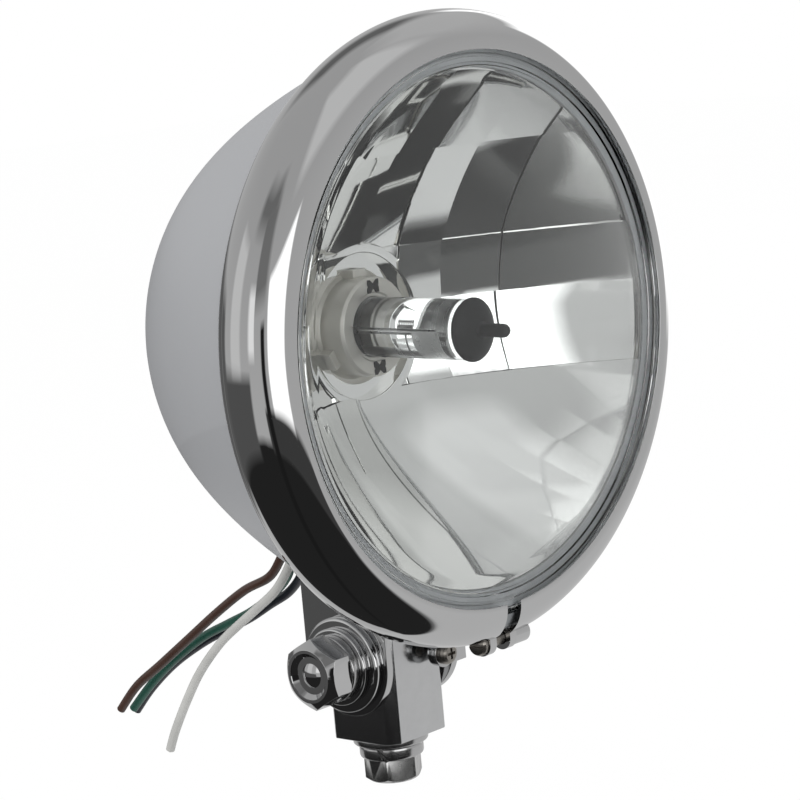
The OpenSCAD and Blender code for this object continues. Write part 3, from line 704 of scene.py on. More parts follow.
    def fit(self, piece: Thing, finish: Finish, *nodes: str, smooth: float = 0.0,
            body: Body = Body.HEAD) -> None:
        """Dresses a piece, puts it on its body and swaps it for its CAD nodes.

        Args:
            piece: The piece.
            finish: Its finish.
            nodes: The CAD nodes that it stands for, if any.
            smooth: The angle to settle it with first, where it isn't settled yet.
            body: The body that it rides on.
        """
        if smooth:
            self.settle(piece, smooth)
        piece.data.materials.clear()
        piece.data.materials.append(finish.material())
        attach(piece, body.value)
        if nodes:
            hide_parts(*nodes)
        log.info("%s on %s, %d faces", piece.name, body.value, len(piece.data.polygons))


SHOP = Workshop()


@dataclass
class Housing:
    """The deep bowl and the bracket under it."""

    mouth_r: float = 75.5 * MM
    ring_rear: float = 21.4 * MM
    depth: float = 72.5 * MM
    power: float = 3.28
    wall: float = 1.2 * MM
    rim_w: float = 3.1 * MM
    exit_r: float = 53 * MM
    hole_r: float = 6.4 * MM
    drill_l: float = 10 * MM
    bracket_edge: float = 0.45 * MM

    def line(self, grow: float, steps: int = 56) -> list[Point]:
        """The bowl's outline from its mouth to its crown, grown by grow."""
        turns = [i * math.pi / 2 / steps for i in range(steps + 1)]
        radii = [(self.mouth_r + grow) * math.cos(turn) for turn in turns]
        return [(r, self.rise(r, grow)) for r in radii]

    def rise(self, r: float, grow: float = 0.0) -> float:
        """Depth of the bowl's outside at radius r."""
        share = max(r, 0.0) / (self.mouth_r + grow)
        return self.ring_rear + (self.depth + grow) * (1 - share ** self.power)

    def exit_frame(self) -> tuple[Vector, Vector, Vector]:
        """Point, outward direction and sideways direction where the leads leave."""
        steep = (self.exit_r / self.mouth_r) ** (self.power - 1)
        slope = self.depth * self.power / self.mouth_r * steep
        point = Vector((0, self.rise(self.exit_r) - SHOP.forward, SHOP.height - self.exit_r))
        out = Vector((0, 1, -slope)).normalized()
        return point, out, Vector((1, 0, 0))

    def build(self, unit: "LampUnit") -> None:
        """Builds the bowl with its rim and exit hole, and the bracket."""
        front, wall = unit.rim_front, self.wall
        rim = self.mouth_r + self.rim_w
        outline = [(self.mouth_r - wall, front), (rim, front), (rim, front + wall),
                   (self.mouth_r, front + wall)]
        outline += self.line(0.0) + self.line(-wall)[::-1]
        bowl = SHOP.turned("bowl", outline, steps=224)
        point, out, _ = self.exit_frame()
        reach = out * self.drill_l
        SHOP.drill(bowl, point - reach, point + reach, self.hole_r, 64)
        SHOP.fit(bowl, SHELL_SATIN, "shell", smooth=30.0)
        bracket = SHOP.copied("bracket", "bracket_pressing")
        SHOP.soften(bracket, self.bracket_edge, 3, 35.0)
        SHOP.fit(bracket, BRACKET_CHROME, "bracket")


@dataclass
class TrimRing:
    """The pressed ring with its split and lugs, its clamp screw and nut."""

    lip_r: float = 71.5 * MM
    roll_w: float = 9.6 * MM
    roll_depth: float = 5.2 * MM
    roll_bulge: float = 1.5 * MM
    bead_depth: float = 16.2 * MM
    bead_bulge: float = 2.9 * MM
    rear_r: float = 76.75 * MM
    wall: float = 1.2 * MM
    edge: float = 0.5 * MM
    split_w: float = 5.5 * MM
    lug_t: float = 2.6 * MM
    lug_r: float = 3.3 * MM
    lug_depth: float = 8 * MM
    lug_drop: float = 1 * MM
    screw_r: float = 1.75 * MM
    head_r: float = 2.9 * MM
    head_t: float = 2.4 * MM
    head_room: float = 1 * MM
    slot_half: float = 0.42 * MM
    nut_l: float = 7 * MM
    nut_r: float = 3 * MM
    nut_room: float = 0.6 * MM
    nut_cut: float = 1 * MM
    pocket_top: float = 30 * MM
    head: tuple[Point, ...] = ((0, 1), (0.5, 0.98), (0.85, 0.8), (1, 0.45))

    @property
    def crease_r(self) -> float:
        """Radius of the crease between roll and bead."""
        return self.lip_r + self.roll_w

    def sheet(self) -> list[Point]:
        """Outline of the pressed sheet."""
        lip = (self.lip_r, 0.0)
        crease = (self.crease_r, self.roll_depth)
        rear = (self.rear_r, self.roll_depth + self.bead_depth)
        sides = ((0.0, 26, 30, None), (self.wall, 20, 24, -1))
        outer, inner = (arc(lip, crease, self.roll_bulge, inset, roll)[:last]
                        + arc(crease, rear, self.bead_bulge, inset, bead)[1:]
                        for inset, roll, bead, last in sides)
        return rounded(outer + inner[::-1], self.edge, 4)

    def build(self) -> None:
        """Builds the ring, then the clamp's pieces."""
        z = SHOP.height - self.crease_r - self.lug_drop
        y = self.lug_depth - SHOP.forward
        half = self.split_w / 2
        out = half + self.lug_t
        ring = SHOP.turned("trim_ring_pressing", self.sheet(), steps=288)
        top = SHOP.height - self.crease_r + self.wall
        for x in (half, -out):
            lug = SHOP.rod("lug", (x, y, z), (x + self.lug_t, y, z), self.lug_r)
            SHOP.mill(lug, (x, y - self.lug_r, z), (x + self.lug_t, y + self.lug_r, top), Cut.JOIN)
            SHOP.merge(ring, lug, Cut.JOIN)
        SHOP.mill(ring, (-half, -2 * THROUGH, 0.0), (half, 2 * THROUGH, SHOP.height))
        pocket = self.head_r + PLAY
        for x0, x1 in ((-out - self.head_t - self.head_room, -out),
                       (out, out + self.nut_l + self.nut_room)):
            SHOP.mill(ring, (x0, y - pocket, 0.0), (x1, y + pocket, SHOP.height - self.pocket_top))
        SHOP.drill(ring, (-THROUGH, y, z), (THROUGH, y, z), self.screw_r + PLAY, 64)
        SHOP.fit(ring, RING_CHROME, "trim_ring", smooth=30.0)
        left, right = ([Vector(v) for v in ((side * (out + SEAT), y, z), (side, 0, 0), (0, 0, 1))]
                       for side in (-1, 1))
        r, t = self.head_r, self.head_t
        shaft = self.split_w + 2 * self.lug_t + self.nut_l - self.nut_cut
        screw = SHOP.turned("clamp_screw", rounded(
            screw_line(self.head, (r, t), (self.screw_r, shaft)), ROUND), frame3=left, steps=64)
        SHOP.mill(screw, (-out - t - OVER, y - r * 1.2, z - self.slot_half),
                  (-out - t * 0.5, y + r * 1.2, z + self.slot_half))
        SHOP.fit(screw, SCREW_DULL, "ring_screw", smooth=35.0)
        n, bore, cut = self.nut_r, self.screw_r + SEAT, self.nut_cut
        nut = SHOP.turned("clamp_nut", rounded(
            [(bore, 0), (n, 0), (n, self.nut_l - cut), (n - cut, self.nut_l), (bore, self.nut_l)],
            ROUND), frame3=right, steps=64)
        SHOP.fit(nut, NUT_CHROME, "ring_nut", smooth=35.0)


@dataclass
class LampUnit:
    """The glass, its sealing bead and the faceted mirror bowl."""

    lens_r: float = 73 * MM
    lens_front: float = 1.4 * MM
    lens_t: float = 3 * MM
    flat_w: float = 6.7 * MM
    dome_h: float = 10 * MM
    dome_step: float = 1 * MM
    groove_r: Point = (3.6, 1.4)
    groove: tuple[Point, ...] = ((0.9, 0), (0.55, 0.45), (0, 0.45), (-0.3, 0))
    seal_t: float = 1.5 * MM
    seal_in: float = 0.6 * MM
    seal_edge: float = 0.4 * MM
    skin: float = 3 * MM
    facet_t: float = 2.8 * MM
    facet_in: float = 0.3 * MM
    facet_out: float = 0.2 * MM
    bulb_seat: float = 49.4 * MM
    ledge_w: float = 4 * MM
    ledge_t: float = 1.6 * MM
    neck_r: float = 19.5 * MM
    neck_wall: float = 2.5 * MM
    neck_l: float = 4.2 * MM
    rim_gap: float = 2 * MM
    flange_r: float = 77.6 * MM
    flange_t: float = 1.9 * MM
    spans: int = 30
    turns: int = 160
    steps: Point = (0.605 * MM, 0.99 * MM)
    lean_across: Place = (0.30 * MM, 2.4, 1.9)
    lean_up: Place = (0.25 * MM, 1.3, 2.7)
    columns: tuple[float, ...] = (-80, -41, -27, -14, 1, 15, 27, 41, 80)
    rows: tuple[float, ...] = (-18, 3.7, 19.5, 45.5, 80)
    raised: tuple[tuple[int, int, float], ...] = ((4, 1, 0.9), (5, 1, 0.9), (6, 1, 0.35))
    facet_swell: Point = (0.30 * MM, 0.25 * MM)

    @property
    def lens_rear(self) -> float:
        """Depth of the glass's flat rear."""
        return self.lens_front + self.lens_t

    @property
    def dome_r(self) -> float:
        """Radius where the dome begins."""
        return self.lens_r - self.flat_w

    @property
    def mirror_front(self) -> float:
        """Depth of the mirror bowl's flange."""
        return self.lens_rear + self.seal_t

    @property
    def rim_front(self) -> float:
        """Depth of the front of the bowl's rim."""
        return self.mirror_front + self.rim_gap

    @property
    def neck_front(self) -> float:
        """Depth where the mirror ends at the neck."""
        return self.bulb_seat - self.ledge_t - self.skin

    @property
    def focal(self) -> float:
        """Focal length of the mirror between its rim and its neck."""
        deep = self.neck_front - self.mirror_front
        return (self.dome_r ** 2 - self.neck_r ** 2) / (4 * deep)

    @property
    def vertex(self) -> float:
        """Depth of the mirror's vertex."""
        return self.neck_front + self.neck_r ** 2 / (4 * self.focal)

    def depth(self, r: float) -> float:
        """Depth of the mirror at radius r."""
        return self.vertex - r * r / (4 * self.focal)

    @staticmethod
    def dome(r: float, top: float, h: float, steps: int = 40) -> list[Point]:
        """A dome's line from its rim to its top."""
        big = (r * r + h * h) / (2 * h)
        turns = [math.asin(r / big) * (1 - i / steps) for i in range(steps + 1)]
        return [(big * math.sin(w), top + big * (1 - math.cos(w))) for w in turns]

    def glass(self) -> None:
        """Builds the domed glass and the bead behind its flat border."""
        inner, face = self.dome_r - self.dome_step, self.lens_front
        outline = [(inner, self.lens_rear), (self.lens_r, self.lens_rear), (self.lens_r, face)]
        for r in self.groove_r:
            outline += [(self.dome_r + r * MM + a * MM, face + b * MM) for a, b in self.groove]
        outline += self.dome(self.dome_r, face - self.dome_h, self.dome_h)
        outline += self.dome(inner, self.lens_rear - self.dome_h, self.dome_h)[::-1]
        lens = SHOP.turned("glass", rounded(outline, ROUND, 3), steps=224)
        SHOP.fit(lens, LENS_GLASS, "lens", smooth=24.0)
        bead = oblong(self.dome_r + self.seal_in, self.lens_r, self.lens_rear + SEAT,
                      self.mirror_front - SEAT)
        SHOP.fit(SHOP.turned("sealing_bead", rounded(bead, self.seal_edge), steps=160), SEAL_GREY,
                 "lens_seal")

    def facet(self, name: str, x: Point, z: Point, shift: float, swell: Point,
              lean: Point = (0.0, 0.0)) -> Thing | None:
        """One patch of the mirror between two columns and two rows.

        Args:
            name: Name of the patch.
            x: Its left and right sides, in metres from the axis.
            z: Its lower and upper sides.
            shift: Distance that it is set back.
            swell: How far its middle stands forward, across and upwards.
            lean: How far its right and its upper edge are set back.

        Returns:
            The patch with its thickness, or None where the bowl doesn't reach.
        """
        outer, inner, n = self.dome_r + self.facet_out, self.neck_r + self.facet_in, self.spans
        radii = [inner + (outer - inner) * i / n for i in range(n + 1)]
        places = [Vector((0, self.depth(r) - SHOP.forward, SHOP.height - r)) for r in radii]
        patch = SHOP.swept(name, places, *SHOP.basis(Axis.LAMP)[:2], self.turns)
        for side, zero, edges in (((1, 0, 0), 0.0, x), ((0, 0, 1), SHOP.height, z)):
            for edge, sign in zip(edges, (-1, 1)):
                SHOP.whole()
                bpy.ops.mesh.bisect(plane_co=Vector(side) * (edge + zero),
                                    plane_no=Vector(side) * sign, clear_outer=True)
        SHOP.mode("OBJECT")
        if not patch.data.polygons:
            bpy.data.objects.remove(patch, do_unlink=True)
            return None
        SHOP.pick(patch)
        SHOP.applied(patch)
        (x0, x1), (z0, z1) = ((max(a, -outer), min(b, outer)) for a, b in (x, z))
        for v in patch.data.vertices:
            u = 2 * (v.co.x - x0) / (x1 - x0) - 1
            w = 2 * (v.co.z - SHOP.height - z0) / (z1 - z0) - 1
            v.co.y += (shift - swell[0] * (1 - u * u) - swell[1] * (1 - w * w)
                       + lean[0] * u + lean[1] * w)
        offset = 1.0 if patch.data.polygons[0].normal.y > 0 else -1.0
        return SHOP.worked(patch, "SOLIDIFY", thickness=self.facet_t, offset=offset)

    def mirror(self) -> None:
        """Builds the mirror bowl: smooth below, stepped facets above."""
        raised = {(i, j): rise * MM for i, j, rise in self.raised}
        (a, along, up), (b, tip, rise) = self.lean_across, self.lean_up
        wide = (-2 * self.lens_r, 2 * self.lens_r)
        parts = [self.facet("smooth", wide, (wide[0], self.rows[0] * MM), 0.0, (0.0, 0.0))]
        for i, (x0, x1) in enumerate(zip(self.columns, self.columns[1:])):
            for j, (z0, z1) in enumerate(zip(self.rows, self.rows[1:])):
                shift = self.steps[0] * ((i + 1) % 2) + self.steps[1] * ((j + 1) % 2)
                lean = (a * math.sin(along * i + up * j),
                        raised.get((i, j), b * math.cos(tip * i + rise * j)))
                parts.append(self.facet(f"facet_{i}_{j}", (x0 * MM, x1 * MM), (z0 * MM, z1 * MM),
                                        shift, self.facet_swell, lean))
        parts = [part for part in parts if part]
        front, neck = self.mirror_front, self.neck_r
        outside, seat = neck + self.neck_wall, self.depth(neck) + self.skin
        back = seat + self.ledge_t + self.neck_l
        lip = self.depth(neck) + 0.1 * MM
        tube = [(neck, lip), (outside, lip - 0.5 * MM), (outside, back), (neck, back)]
        flange = oblong(self.dome_r, self.flange_r, front, front + self.flange_t)
        ledge = oblong(neck - self.ledge_w, neck + 0.5 * MM, seat, seat + self.ledge_t)
        neck_line = rounded(tube, 0.4 * MM)
        for name, line, steps in (("flange", flange, self.turns), ("neck", neck_line, 128),
                                  ("ledge", ledge, 128)):
            parts.append(SHOP.turned(name, line, steps=steps))
        bowl = SHOP.joined(parts)
        bowl.name = "mirror_bowl"
        SHOP.fit(bowl, MIRROR, "reflector", smooth=24.0)

    def build(self) -> None:
        """Builds the glass and the mirror."""
        self.glass()
        self.mirror()


@dataclass
class Bulb:
    """The three-blade bulb: flange, envelope, black tip and wound filaments."""

    flange_r: float = 18.7 * MM
    flange_t: float = 1.2 * MM
    sleeve_r: float = 13.3 * MM
    sleeve_l: float = 9 * MM
    tab_half: float = 2.5 * MM
    tab_l: float = 4.5 * MM
    tab_r: Point = (-1 * MM, 2 * MM)
    tube_r: float = 8 * MM
    tube_l: float = 45 * MM
    tube_wall: float = 1 * MM
    tube_foot: float = 5 * MM
    tip_h: float = 3 * MM
    coat_l: float = 3 * MM
    coat_t: float = 0.25 * MM
    pip_l: float = 8.8 * MM
    pip_r: float = 1.8 * MM
    slot_out: float = 2.85 * MM
    slot_half: Point = (1.75 * MM, 2.2 * MM)
    slot_deep: Point = (-0.04 * MM, 0.5 * MM)
    notches: tuple[Place, ...] = ((-2.2, 0, 1.6), (2.2, 0, 1.6), (0, -2.6, 0.75), (0, 2.6, 0.75))
    pip_turns: Place = (25, 50, 72)
    coils: tuple[tuple[str, float, float], ...] = (("low", -1.0, 36.95), ("high", 0.0, 26.0))
    coil_turns: int = 9
    coil_steps: int = 12
    gauges: Place = (0.13 * MM, 0.3 * MM, 0.28 * MM)
    coil_l: float = 5.5 * MM
    coil_r: float = 0.68 * MM
    leg_y: float = 3.75 * MM

    def build(self, unit: LampUnit) -> None:
        """Builds the bulb in the mirror bowl's neck."""
        for step in (self.cup, self.tube, self.wires):
            step(unit.bulb_seat)

    def cup(self, ref: float) -> None:
        """Builds the flange with its sleeve, front plate and painted shade in its slots."""
        back, seat = ref + self.flange_t, ref + SEAT
        s, f, front, bore = self.sleeve_r, self.flange_r, ref - self.sleeve_l, self.tube_r + SEAT
        corners = ((bore, front, 0, 0.9), (bore, front, 0.9, 0.9), (bore, front, 1.3, 0.25),
                   (s, front, -1.1, 0.1), (s, front, -0.7, 0), (s, front, 0, 0.7), (s, ref, 0, -1),
                   (s, seat, 0.9, 0), (f, seat, 0, 0), (f, back, 0, 0), (bore, back, 0, 0))
        line = [(r + a * MM, h + b * MM) for r, h, a, b in corners]
        cup = SHOP.turned("bulb_cup", rounded(line, ROUND), steps=128)
        for turn in (30, 150, 270):
            lug = SHOP.block("tab", (s + self.tab_r[0], -self.tab_half, ref - self.tab_l),
                             (s + self.tab_r[1], self.tab_half, ref + PLAY))
            lug.data.transform(self.turn(turn))
            SHOP.merge(cup, lug, Cut.JOIN)
        # Painted shade: the slots are black pieces set into the plate, not cut openings.
        marks = [self.bow(turn, front) for turn in (90, 270)]
        SHOP.fit(cup, FLANGE_CREAM, "bulb_flange", smooth=32.0)
        for mark in marks:
            SHOP.fit(mark, SLOT_PAINTED_SHADE, smooth=32.0)

    @staticmethod
    def turn(angle: float) -> Matrix:
        """Places a piece made about Z on the lamp's axis, turned about it."""
        return (Matrix.Translation((0, -SHOP.forward, SHOP.height))
                @ Matrix.Rotation(math.radians(-90), 4, "X")
                @ Matrix.Rotation(math.radians(angle), 4, "Z"))

    def bow(self, angle: float, front: float) -> Thing:
        """A black piece painted as the shade in a slot of the sleeve's front plate, wide at both
        ends and narrow in the middle.
        """
        middle = self.tube_r + self.slot_out
        a, b = self.slot_half
        low, high = (front + h for h in self.slot_deep)
        mark = SHOP.block(f"plate_slot_{angle}", (middle - a, -b, low), (middle + a, b, high))
        for x, y, r in self.notches:
            SHOP.drill(mark, (middle + x * MM, y * MM, front - OVER),
                       (middle + x * MM, y * MM, front + OVER), r * MM, 4)
        mark.data.transform(self.turn(angle))
        return mark

    def tube(self, ref: float) -> None:
        """Builds the glass tube and the black coat with its pip."""
        dome, h = LampUnit.dome, self.tip_h
        tip, r, w = ref - self.tube_l, self.tube_r, self.tube_wall
        foot = ref - self.tube_foot
        outline = [(0, ref), (r, ref)] + dome(r, tip, h, 20)
        outline += dome(r - w, tip + w, h, 20)[::-1] + [(r - w, foot), (0, foot)]
        SHOP.fit(SHOP.turned("bulb_tube", outline, steps=96), QUARTZ, "bulb_envelope")
        inside, p, face = r + SEAT, self.pip_r, tip - SEAT - self.coat_t
        outside, rear, top = inside + self.coat_t, tip + self.coat_l, tip - self.pip_l
        cap = [(inside, rear), (outside, rear)] + dome(outside, face, h, 20)[:-5]
        cap += [(p + 0.5 * MM, face + 0.1 * MM), (p, face - 0.5 * MM), (p, top + p)]
        cap += [(p * math.cos(a), top + p - p * math.sin(a))
                for a in (math.radians(v) for v in self.pip_turns)]
        cap += [(0, top)] + dome(inside, tip - SEAT, h, 20)[::-1]
        SHOP.fit(SHOP.turned("bulb_cap", cap, steps=96), BLACK_COAT, "bulb_tip")

    def wires(self, ref: float) -> None:
        """Builds the wound filaments with their legs, in place of the plain rods."""
        span, r, n = self.coil_l, self.coil_r, self.coil_steps
        count = n * self.coil_turns
        for name, y, start in self.coils:
            low, y = ref - start * MM, y * MM
            middle, end = low + span / 2, 0.1 * MM
            turns = [(2 * math.pi * k / n, low + span * k / count) for k in range(count + 1)]
            paths = (("_coil", [(r * math.cos(t), y + r * math.sin(t), h) for t, h in turns]),
                     ("_coil_leg", [(0, y - 0.6 * MM, middle), (0, -self.leg_y, middle)]),
                     ("_coil_post", [(0, y, low + end), (0, y, low + span - end)]))
            coil = SHOP.joined([self.wire(name + part, path, gauge)
                                for (part, path), gauge in zip(paths, self.gauges)])
            SHOP.fit(coil, TUNGSTEN, name + "_filament", smooth=50.0)

    def wire(self, name: str, path: Sequence[Place], radius: float) -> Thing:
        """A round wire along a path that is drawn about the lamp's axis, where +Y points up."""
        turn = self.turn(0.0)
        return SHOP.tube(name, [turn @ Vector((x, -y, z)) for x, y, z in path], radius, 3)


@dataclass
class Hardware:
    """The swivel block and all its bolts, nuts and washers."""

    block_w: float = 24 * MM
    block_h: float = 34.5 * MM
    block_edge: float = 0.35 * MM
    chamfer: float = 3 * MM
    top_cut: float = 1.8 * MM
    tap_l: float = 14 * MM
    ear_out: float = 14.6 * MM
    pivot_r: float = 5 * MM
    nut_af: float = 17 * MM
    nut_t: float = 8 * MM
    recess: tuple[Point, ...] = ((0.1, -1.4), (1.3, -0.3), (1.4, 1.0))
    end_in: float = 0.6 * MM
    end_h: float = 2 * MM
    head_t: float = 6.4 * MM
    slopes: Point = (0.6, 0.8)
    nut_cuts: Point = (1.4 * MM, 2.6 * MM)
    head_cuts: Point = (0.4 * MM, 1.6 * MM)
    bolt_cuts: Point = (0.4 * MM, 1.5 * MM)
    wide: Point = (13 * MM, 2.6 * MM)
    flat: Point = (10.5 * MM, 2 * MM)
    spring: Point = (9 * MM, 2.5 * MM)
    gap: Place = (1.2 * MM, 0.8 * MM, 8 * MM)
    gap_turn: Point = (205, 25)
    mount_r: float = 5 * MM
    mount_l: float = 13 * MM
    mount_af: float = 14 * MM
    mount_flat: Point = (10.25 * MM, 2.4 * MM)
    mount_spring: Point = (8.75 * MM, 4 * MM)
    tab_face: float = 17 * MM
    tab_x: float = 5 * MM
    tab_washer: Place = (3.9 * MM, 1.95 * MM, 0.85 * MM)
    tab_head: Point = (3.1 * MM, 2.4 * MM)
    tab_shank: Point = (1.75 * MM, 2.95 * MM)
    cross: tuple[Point, ...] = ((1.55, 0.4), (0.4, 1.55))
    pan: tuple[Point, ...] = ((0, 1), (0.4, 1), (0.68, 0.95), (0.88, 0.78), (1, 0.45))

    def disc(self, name: str, radii: Point, ends: Point, axis: Axis, edge: float,
             shift: Place = ORIGIN) -> Thing:
        """A washer with rounded edges.

        Args:
            name: Name of the piece.
            radii: Its outer radius and its bore's.
            ends: Where it starts and ends along the axis.
            axis: The axis.
            edge: Radius of its edges, in millimetres.
            shift: A further shift of the axis.

        Returns:
            The washer.
        """
        line = rounded(oblong(radii[1], radii[0], *ends), edge * MM, 5)
        return SHOP.turned(name, line, axis, shift, 96)

    def hexagon(self, name: str, af: float, ends: Point, axis: Axis, cuts: Point) -> Thing:
        """A hexagon bar with turned chamfers.

        Args:
            name: Name of the piece.
            af: Size across the flats.
            ends: Its start along the axis, at the seat, and its free end.
            axis: The axis.
            cuts: Depths of the chamfers at the seat and at the free end.

        Returns:
            The hexagon bar.
        """
        low, high = ends
        start, along, _ = SHOP.basis(axis)
        corner = af / math.cos(math.radians(30)) / 2
        wide, sign = corner + 1e-5, 1 if high > low else -1
        near, far = (sign * cut * slope for cut, slope in zip(cuts, self.slopes))
        bar = SHOP.rod(name, start + along * low, start + along * high, corner, 6)
        cone = [(0, low), (corner - cuts[0], low), (wide, low + near), (wide, high - far),
                (corner - cuts[1], high), (0, high)]
        return SHOP.merge(bar, SHOP.turned("cone", cone, axis, steps=144), Cut.COMMON)

    def gapped(self, washer: Thing, axis: Axis, middle: float, outer: float) -> Thing:
        """Cuts the slanted gap of a spring washer."""
        start, along, out = SHOP.basis(axis)
        inward, side, deep = self.gap
        tool = SHOP.block("gap", (-inward, -side, -deep), (outer * 1.3, side, deep))
        turn = Matrix((out, along.cross(out), along)).transposed().to_4x4()
        spin, slant = (Matrix.Rotation(math.radians(angle), 4, line)
                       for angle, line in zip(self.gap_turn, "ZX"))
        tool.data.transform(Matrix.Translation(start + along * middle) @ turn @ spin @ slant)
        return SHOP.merge(washer, tool)

    def build(self) -> None:
        """Builds the block, then the pivot's, the mount's and the tab's pieces."""
        self.swivel()
        self.pivot()
        self.mount()
        self.tab()

    def swivel(self) -> None:
        """Builds the block with its cut corners, bore and tapped hole."""
        w, z = self.block_w / 2, SHOP.pivot_height
        block = SHOP.block("swivel", (-w, -w, 0), (w, w, self.block_h))
        SHOP.pick(block)
        SHOP.mode("EDIT")
        bpy.ops.mesh.select_mode(type="EDGE")
        bpy.ops.mesh.select_all(action="DESELECT")
        SHOP.mode("OBJECT")
        for e in block.data.edges:
            a, b = (block.data.vertices[i].co for i in e.vertices)
            e.select = abs(a.z - b.z) > self.block_h * 0.9
        SHOP.mode("EDIT")
        bpy.ops.mesh.bevel(offset=self.chamfer, segments=1)
        SHOP.mode("OBJECT")
        SHOP.drill(block, (-THROUGH, 0, z), (THROUGH, 0, z), self.pivot_r + SEAT)
        SHOP.drill(block, (0, 0, -OVER), (0, 0, self.tap_l), self.mount_r + SEAT)
        for y in (-w, w):
            t = self.top_cut
            wedge = SHOP.block("wedge", (-THROUGH, -t, -t), (THROUGH, t, t))
            wedge.data.transform(Matrix.Translation((0, y, self.block_h))
                                 @ Matrix.Rotation(math.radians(45), 4, "X"))
            SHOP.merge(block, wedge)
        SHOP.soften(block, self.block_edge, 3, 30.0)
        SHOP.fit(block, BLOCK_SATIN, "swivel_block", body=Body.BASE)

    def pivot(self) -> None:
        """Builds the washers, nut and bolt on the cross axis. The nut's side is positive."""
        z, r, x, line = SHOP.pivot_height, self.pivot_r, self.ear_out, Axis.PIVOT
        hole = r + PLAY
        for name, (radius, thick), edge, finish in (
                ("wide_washer", self.wide, 0.9, WASHER_CHROME),
                ("flat_washer", self.flat, 0.6, WASHER_CHROME),
                ("spring_washer", self.spring, 0.5, SPRING_BRIGHT)):
            washer = self.disc(name, (radius, hole), (x + SEAT, x + thick), line, edge)
            split = name == "spring_washer"
            if split:
                self.gapped(washer, line, x + thick / 2, radius)
            SHOP.fit(washer, finish, "pivot_" + name, smooth=35.0 * split)
            x += thick
        face = x + self.nut_t
        nut = self.hexagon("cross_nut", self.nut_af, (x + SEAT, face), line, self.nut_cuts)
        SHOP.soften(nut, ROUND, 3, 24.0)
        SHOP.drill(nut, (-THROUGH, 0, z), (0.0, 0, z), r + SEAT)
        cut = [(r + a * MM, face + b * MM) for a, b in self.recess]
        cut = [(0, cut[0][1])] + cut + [(0, cut[-1][1])]
        SHOP.merge(nut, SHOP.turned("recess", cut, line, steps=96))
        SHOP.fit(nut, NUT_CHROME, "pivot_nut", smooth=30.0)
        end = face - self.end_in
        head = -(self.ear_out + self.flat[1] + SEAT)
        dome = [(p, end - h) for p, h in LampUnit.dome(r, 0.0, self.end_h, 14)]
        shank = dome[::-1] + [(r, head + 0.1 * MM), (0, head + 0.1 * MM)]
        bolt = SHOP.turned("cross_bolt", shank, line, steps=96)
        SHOP.merge(bolt, self.hexagon("head", self.nut_af, (head, head - self.head_t), line,
                                      self.head_cuts), Cut.JOIN)
        SHOP.soften(bolt, 0.25 * MM, 2, 35.0)
        SHOP.fit(bolt, NUT_CHROME, "pivot_bolt")
        washer = self.disc("head_washer", (self.flat[0], hole),
                           (-self.ear_out - SEAT, -self.ear_out - self.flat[1]), line, 0.6)
        SHOP.fit(washer, WASHER_CHROME, "pivot_head_washer")

    def mount(self) -> None:
        """Builds the bolt and washers under the block."""
        hole, line, low = self.mount_r + PLAY, Axis.UPRIGHT, -self.mount_flat[1]
        flat = self.disc("mount_flat_washer", (self.mount_flat[0], hole), (low, -SEAT), line, 0.7)
        SHOP.fit(flat, SPRING_BRIGHT, "mounting_flat_washer", body=Body.BASE)
        radius, thick = self.mount_spring
        top = low - thick
        spring = self.disc("mount_spring_washer", (radius, hole), (top + SEAT, low - SEAT), line,
                           1.1)
        self.gapped(spring, line, top + thick / 2, radius)
        SHOP.fit(spring, SPRING_BRIGHT, "mounting_spring_washer", smooth=35.0, body=Body.BASE)
        bolt = self.hexagon("mount_bolt", self.mount_af, (top, top - self.head_t), line,
                            self.bolt_cuts)
        shank = SHOP.rod("shank", (0, 0, top - OVER), (0, 0, self.mount_l), self.mount_r, 96)
        SHOP.merge(bolt, shank, Cut.JOIN)
        SHOP.soften(bolt, 0.35 * MM, 3, 24.0)
        SHOP.fit(bolt, BOLT_BRIGHT, "mounting_bolt", body=Body.BASE)

    def tab(self) -> None:
        """Builds the small screw and washer in the folded tab."""
        low, shift = self.tab_face + SEAT, (self.tab_x, 0.0, 0.0)
        radius, bore, thick = self.tab_washer
        washer = self.disc("tab_washer", (radius, bore), (low, low + thick), Axis.TAB, 0.2, shift)
        SHOP.fit(washer, SPRING_BRIGHT, "tab_screw_washer")
        low += thick + SEAT
        t, z, x = self.tab_head[1], SHOP.pivot_height, self.tab_x
        screw = SHOP.turned("tab_pan_screw", rounded(
            screw_line(self.pan, self.tab_head, self.tab_shank, low), 0.25 * MM), Axis.TAB, shift,
            64)
        for across, up in self.cross:
            dx, dz = across * MM, up * MM
            SHOP.mill(screw, (x - dx, -low - t - OVER, z - dz), (x + dx, -low - t * 0.5, z + dz))
        SHOP.fit(screw, SCREW_DULL, "tab_screw", smooth=35.0)


